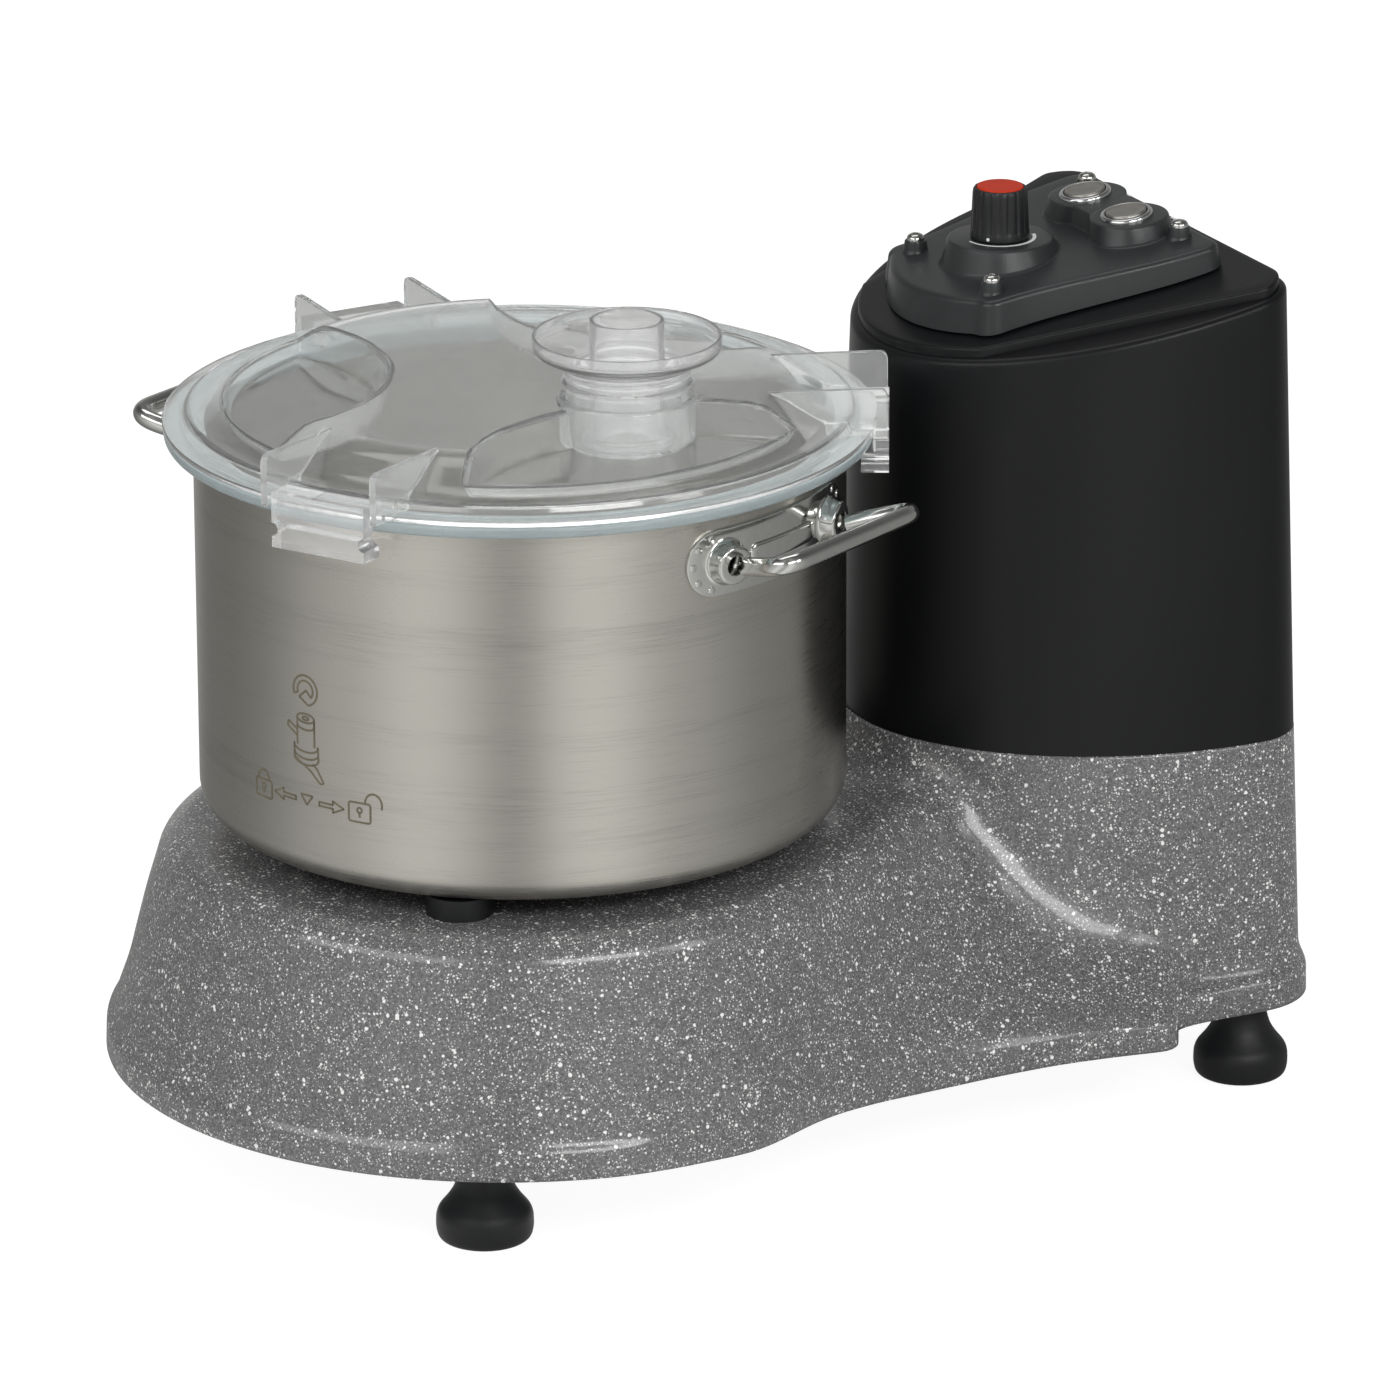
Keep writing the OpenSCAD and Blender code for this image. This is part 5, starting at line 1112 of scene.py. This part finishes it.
class CUTTER_OT_lid(bpy.types.Operator):
    """Build the clear lid with its sunken windows, fins, clips, seal, funnel and feed tube"""

    bl_idname = "cutter.lid"
    bl_label = "Lid"

    def execute(self, context):
        s = context.scene.cutter_vessel
        clear, bright = finish_of("polycarbonate", s), finish_of("polycarbonate_bright", s)
        near = np.concatenate([
            np.linspace(-60, -41, 14), np.linspace(-40.2, -29, 30), np.linspace(-28, 28, 45), np.linspace(29, 40.2, 30),
            np.linspace(41, 60, 14)[:-1]
        ])
        turn = np.concatenate([near + w for w in WINDOWS])
        turn = np.append(turn, turn[0] + 360)
        off = np.radians(np.abs((turn - WINDOWS[0] + 60) % 120 - 60))
        reach = WINDOW_R**2 - (WINDOW_OUT * np.sin(off)) ** 2
        inner = np.where(reach > 0, WINDOW_OUT * np.cos(off) - np.sqrt(np.maximum(reach, 0)), WINDOW_RIM)
        inner = np.minimum(inner, 116)[None, :]
        t = np.linspace(0, 1, 22)[:, None]
        wall = np.array([-1.0, -0.4, 0.3, 1.0, 1.7, 2.4, 3.2])[:, None]
        rows = [
            t * (inner - 1.6), inner + wall * mixed(1.0, 0.2, eased(108, 116, inner)), mixed(inner + 4.2, 117.8, t),
            WINDOW_RIM - wall[::-1]
        ]
        outer = np.array([
            123.5, 126, 127.4, 128.6, 130.0, 131.2, 134, 137, 137.9, 138.4, 138.7, 139.2, 140, 141, 144, 147, 147.5
        ])[:, None]
        r = np.concatenate([row + 0 * inner for row in rows] + [outer + 0 * inner])
        r = np.maximum.accumulate(r, axis=0)
        a = np.radians(turn)
        x, y = r * np.cos(a), r * np.sin(a)
        grid = np.stack([x, y, star_height(x, y, s)], -1)
        open_neck = lambda f: ~(np.hypot(f[..., 0] - FUNNEL[0], f[..., 1] - FUNNEL[1]) < 28.2).all(1)
        piece("lid_star", "lid", "lid_clear", [clear], [grid], ("lid",), 60, s.lid_wall / MM, keep=open_neck)
        collar = soften(
            [(25.7, 311.4), (28.6, 311.4), (28.6, 329.6), (27.8, 330.8), (25.7, 330.8)], [0.3, 0.5, 0.6, 0.6, 0.4], 5, True
        )
        fin = np.array([(103, 327.6), (126.5, 314.5), (127, 309.2), (151.9, 309.2), (151.9, 329.3), (146, 329.3)])
        fin = soften(fin, [0.4, 4, 0.4, 0.6, 4.5, 2], 6, True)
        ribs = []
        for station in np.radians(STATIONS):
            along, across = np.array([math.cos(station), math.sin(station)]), np.array([-math.sin(station), math.cos(station)])
            for side in (-26, 26):
                layers = [(0.0, -1.5), (0.98, -1.5), (1.0, -1.1), (1.0, 1.1), (0.98, 1.5), (0.0, 1.5)]
                middle = np.array([136.0, 321.0])
                flat = np.stack([middle + (fin - middle) * share for share, _ in layers])
                flat[..., 1] -= 2.6 * math.sin(station) * eased(312, 329, flat[..., 1])
                push = np.array([side + shift for _, shift in layers])[:, None]
                ribs.append(np.stack(
                    [flat[..., 0] * along[0] + push * across[0], flat[..., 0] * along[1] + push * across[1], flat[..., 1]], -1
                ))
        piece("lid_fins", "lid", "lid_clear", [clear], [turned(collar, FUNNEL, 96), *ribs], sharp=35)
        dress(bright, "lid_clips")
        seal = [
            (130.1, 301.1), (133.4, 301.1), (133.4, 307.2), (135.4, 307.2), (135.4, 304.4), (146.9, 304.4), (147.2, 308.9),
            (130.1, 308.9)
        ]
        ring = soften(seal, [0.8, 0.2, 0.2, 0.2, 0.2, 2.2, 1.6, 0.8], 6, True)
        piece("silicone_seal", "lid", "seal_clear", [finish_of("silicone", s)], [turned(ring, turns=180)], ("lid_seal",), 35)
        funnel = [
            (15.9, 309.1), (25.4, 309.1), (25.4, 334.6), (27.2, 335.4), (27.2, 336.8), (25.2, 337.6), (25.2, 339.2), (26.4, 340.0), (26.4, 341.4),
            (25.2, 342.2), (30.5, 345.8), (38.9, 349.8), (38.9, 356.1), (37.4, 356.1), (37.3, 351.0), (29.5, 347.6), (22.6, 344.0), (22.5, 312.0), (15.9, 312.0),
        ]
        cone = soften(funnel, [0.3, 0.4, 0.8, 0.5, 0.5, 0.5, 0.5, 0.4, 0.4, 1.2, 3, 2.2, 0.6, 0.6, 2, 3, 2.5, 0.8, 0.3], 5, True)
        piece("feed_cone", "lid", "lid_clear", [bright], [turned(cone, FUNNEL, 120)], ("feed_funnel",), 35)
        tube = [
            (13.5, 306.1), (15.4, 306.1), (15.4, 312.4), (18.4, 312.4), (18.4, 314.9), (15.4, 314.9), (15.4, 362.6),
            (13.5, 362.6)
        ]
        tube = soften(tube, [0.3, 0.3, 0.2, 0.4, 0.4, 0.6, 0.8, 0.8], 5, True)
        piece("feed_sleeve", "feed_tube", "lid_clear", [bright], [turned(tube, FUNNEL, 96)], ("feed_tube",), 35)
        return {"FINISHED"}


class CUTTER_OT_inside(bpy.types.Operator):
    """Give the parts of the drive, the blades and the electrics their finishes"""

    bl_idname = "cutter.inside"
    bl_label = "Inside"

    def execute(self, context):
        s = context.scene.cutter_shell
        groups = {
            "zinc_sheet": (
                "plate_screws", "foot_bolts", "motor_plate", "plate_bolts", "housing_screws", "board_standoffs", "gland_nut"
            ),
            "cast_aluminium": ("motor_lower_bell", "motor_upper_bell", "bearing_housing", "motor_pulley", "spindle_pulley"),
            "motor_paint": ("motor_housing",),
            "turned_steel": (
                "motor_shaft", "spindle_shaft", "spindle_bearings", "motor_rotor", "knob_shaft", "blade_nut", "start_spring",
                "stop_spring", "bowl_magnet"
            ),
            "moulded_rubber": ("bowl_pads", "panel_gasket", "shaft_seal"),
            "belt_rubber": ("drive_belt",),
            "circuit_board": ("inverter_board",),
            "electric_nylon": ("potentiometer", "contact_blocks", "terminal_block", "reed_switch", "cable_gland"),
            "ground_steel": ("lower_blade", "upper_blade"),
            "polished_steel": ("blade_hub", "blade_spacer"),
            "inner_steel": ("bowl_tube",),
        }
        for finish, names in groups.items():
            dress(finish_of(finish, s), *names)
        return {"FINISHED"}


def lamp(name, place, aim, power, size):
    """A rectangular soft lamp that looks from one point at another."""
    light = bpy.data.lights.new(name, "AREA")
    light.shape, light.energy, light.size, light.size_y = "RECTANGLE", power, *size
    made = bpy.data.objects.new(name, light)
    made.location = place
    made.rotation_euler = (Vector(place) - Vector(aim)).to_track_quat("Z", "Y").to_euler()
    bpy.context.scene.collection.objects.link(made)


def seen_share(tree, ray):
    """1 for what the camera sees, also through the clear parts, and 0 for all other light."""
    return maths(tree, "MAXIMUM", ray["Is Camera Ray"], ray["Is Transmission Ray"])


def studio_walls(tree, y, x):
    """The studio as gloss sees it: a paler or darker wall by the angle round the set, from -180 to 180 degrees."""
    share = rescaled(tree, maths(tree, "ARCTAN2", y, x), -math.pi, math.pi, 0.0, 1.0)
    walls = [
        (-180, 0.6), (-172, 0.63), (-163, 0.76), (-154, 0.88), (-145, 0.89), (-137, 0.8), (-129, 0.64), (-121, 0.47), (-113, 0.54),
        (-105, 0.8), (-97, 0.9), (-89, 0.9), (-80, 0.79), (-72, 0.63), (-63, 0.52), (-54, 0.48), (-43, 0.4), (-33, 0.33), (-21, 0.29),
        (0, 0.26), (40, 0.4), (75, 0.5), (105, 0.22), (129, 0.24), (145, 0.3), (157, 0.39), (168, 0.51), (180, 0.6),
    ]
    return add(
        tree, "ShaderNodeValToRGB", {0: share}, stops=[((d + 180) / 360, (v, v, v * 0.985, 1.0)) for d, v in walls]
    ).outputs[0]


class CUTTER_OT_studio(bpy.types.Operator):
    """Set up the camera, the soft lamps, the pale world and the floor"""

    bl_idname = "cutter.studio"
    bl_label = "Studio"

    def execute(self, context):
        s = context.scene.cutter_studio
        shift = Vector((AXIS_X * MM, 0, 0))
        stand, aim = Vector(s.stand) + shift, Vector(s.aim) + shift
        ahead = (aim - stand).normalized()
        right = ahead.cross(Vector((0, 0, 1))).normalized()
        up = right.cross(ahead)
        right, up = right * math.cos(s.roll) + up * math.sin(s.roll), up * math.cos(s.roll) - right * math.sin(s.roll)
        camera = bpy.data.objects.new("camera", bpy.data.cameras.new("camera"))
        camera.data.lens, camera.data.sensor_width, camera.data.clip_end = s.lens, 36.0, 50.0
        turn = Matrix((right, up, -ahead)).transposed().to_4x4()
        camera.matrix_world = Matrix.Translation(stand) @ turn
        bpy.context.scene.collection.objects.link(camera)
        bpy.context.scene.camera = camera

        world = bpy.data.worlds.new("studio")
        world.use_nodes = True
        tree = world.node_tree
        tree.nodes.clear()
        ray = add(tree, "ShaderNodeLightPath").outputs
        way = add(tree, "ShaderNodeSeparateXYZ", {0: add(tree, "ShaderNodeTexCoord").outputs["Generated"]}).outputs
        high = rescaled(tree, way[2], 0.1, 0.6, 1.0, 0.4)
        gloss = add(tree, "ShaderNodeBackground", {"Color": studio_walls(tree, way[1], way[0]), "Strength": high}).outputs[0]
        soft = add(tree, "ShaderNodeBackground", {"Color": paint("#ffffff"), "Strength": s.fill}).outputs[0]
        plain = add(tree, "ShaderNodeBackground", {"Color": (1, 1, 1, 1), "Strength": 1.0}).outputs[0]
        both = add(tree, "ShaderNodeMixShader", {0: ray["Is Glossy Ray"], 1: soft, 2: gloss}).outputs[0]
        both = add(tree, "ShaderNodeMixShader", {0: seen_share(tree, ray), 1: both, 2: plain}).outputs[0]
        add(tree, "ShaderNodeOutputWorld", {"Surface": both})
        bpy.context.scene.world = world

        size = 5.0
        mesh = bpy.data.meshes.new("floor")
        mesh.from_pydata([(-size, -size, 0), (size, -size, 0), (size, size, 0), (-size, size, 0)], [], [(0, 1, 2, 3)])
        floor = bpy.data.objects.new("floor", mesh)
        bpy.context.scene.collection.objects.link(floor)
        pale = bpy.data.materials.new("painted_floor")
        pale.use_nodes = True
        tree = pale.node_tree
        tree.nodes.clear()
        ray = add(tree, "ShaderNodeLightPath").outputs
        matt = add(tree, "ShaderNodeBsdfDiffuse", {"Color": paint("#f0f0ef")}).outputs[0]
        glow = add(tree, "ShaderNodeEmission", {"Color": (1, 1, 1, 1), "Strength": 1.22}).outputs[0]
        share = maths(tree, "MULTIPLY", seen_share(tree, ray), 0.76)
        both = add(tree, "ShaderNodeMixShader", {0: share, 1: matt, 2: glow}).outputs[0]
        spot = add(
            tree, "ShaderNodeVectorMath", {0: add(tree, "ShaderNodeTexCoord").outputs["Object"], 1: (AXIS_X * MM, 0, 0)},
            operation="SUBTRACT"
        )
        way = add(tree, "ShaderNodeSeparateXYZ", {0: spot.outputs[0]}).outputs
        mirrored = add(tree, "ShaderNodeEmission", {"Color": studio_walls(tree, way[1], way[0]), "Strength": 1.0}).outputs[0]
        both = add(tree, "ShaderNodeMixShader", {0: ray["Is Glossy Ray"], 1: both, 2: mirrored}).outputs[0]
        add(tree, "ShaderNodeOutputMaterial", {"Surface": both})
        mesh.materials.append(pale)

        centre = (0.02, 0.0, 0.2)
        lamp("key_lamp", (-2.1, -0.6, 1.65), centre, s.key, (2.4, 0.8))
        lamp("front_lamp", (-0.04, -2.25, 1.6), centre, s.key * 1.15, (1.3, 0.55))
        lamp("side_lamp", (1.25, -2.1, 1.5), centre, s.key * 0.45, (0.6, 0.9))
        lamp("top_lamp", (0.1, 0.6, 2.0), centre, s.key * 0.35, (1.4, 0.7))
        bpy.context.scene.view_settings.view_transform = "Standard"
        return {"FINISHED"}


OPERATORS = (
    CUTTER_OT_base, CUTTER_OT_feet, CUTTER_OT_cover, CUTTER_OT_panel, CUTTER_OT_knob, CUTTER_OT_buttons, CUTTER_OT_bowl,
    CUTTER_OT_handles, CUTTER_OT_lid, CUTTER_OT_inside, CUTTER_OT_studio,
)


class CUTTER_PT_panel(bpy.types.Panel):
    """Lists the settings and the building steps"""

    bl_idname = "CUTTER_PT_panel"
    bl_label = "Vegetable cutter"
    bl_space_type = "VIEW_3D"
    bl_region_type = "UI"
    bl_category = "Cutter"

    def draw(self, context):
        for group in (
            context.scene.cutter_shell, context.scene.cutter_vessel, context.scene.cutter_control, context.scene.cutter_studio
        ):
            box = self.layout.box()
            for name in group.__annotations__:
                box.prop(group, name)
        for step in OPERATORS:
            self.layout.operator(step.bl_idname)


GROUPS = {
    "cutter_shell": ShellSettings, "cutter_vessel": VesselSettings, "cutter_control": ControlSettings,
    "cutter_studio": StudioSettings
}


def register():
    for made in (*GROUPS.values(), *OPERATORS, CUTTER_PT_panel):
        bpy.utils.register_class(made)
    for name, group in GROUPS.items():
        setattr(bpy.types.Scene, name, PointerProperty(type=group))


def unregister():
    for name in GROUPS:
        delattr(bpy.types.Scene, name)
    for made in reversed((*GROUPS.values(), *OPERATORS, CUTTER_PT_panel)):
        bpy.utils.unregister_class(made)


def main():
    register()
    for step in OPERATORS:
        getattr(bpy.ops.cutter, step.bl_idname.split(".")[1])()


if __name__ == "__main__":
    main()
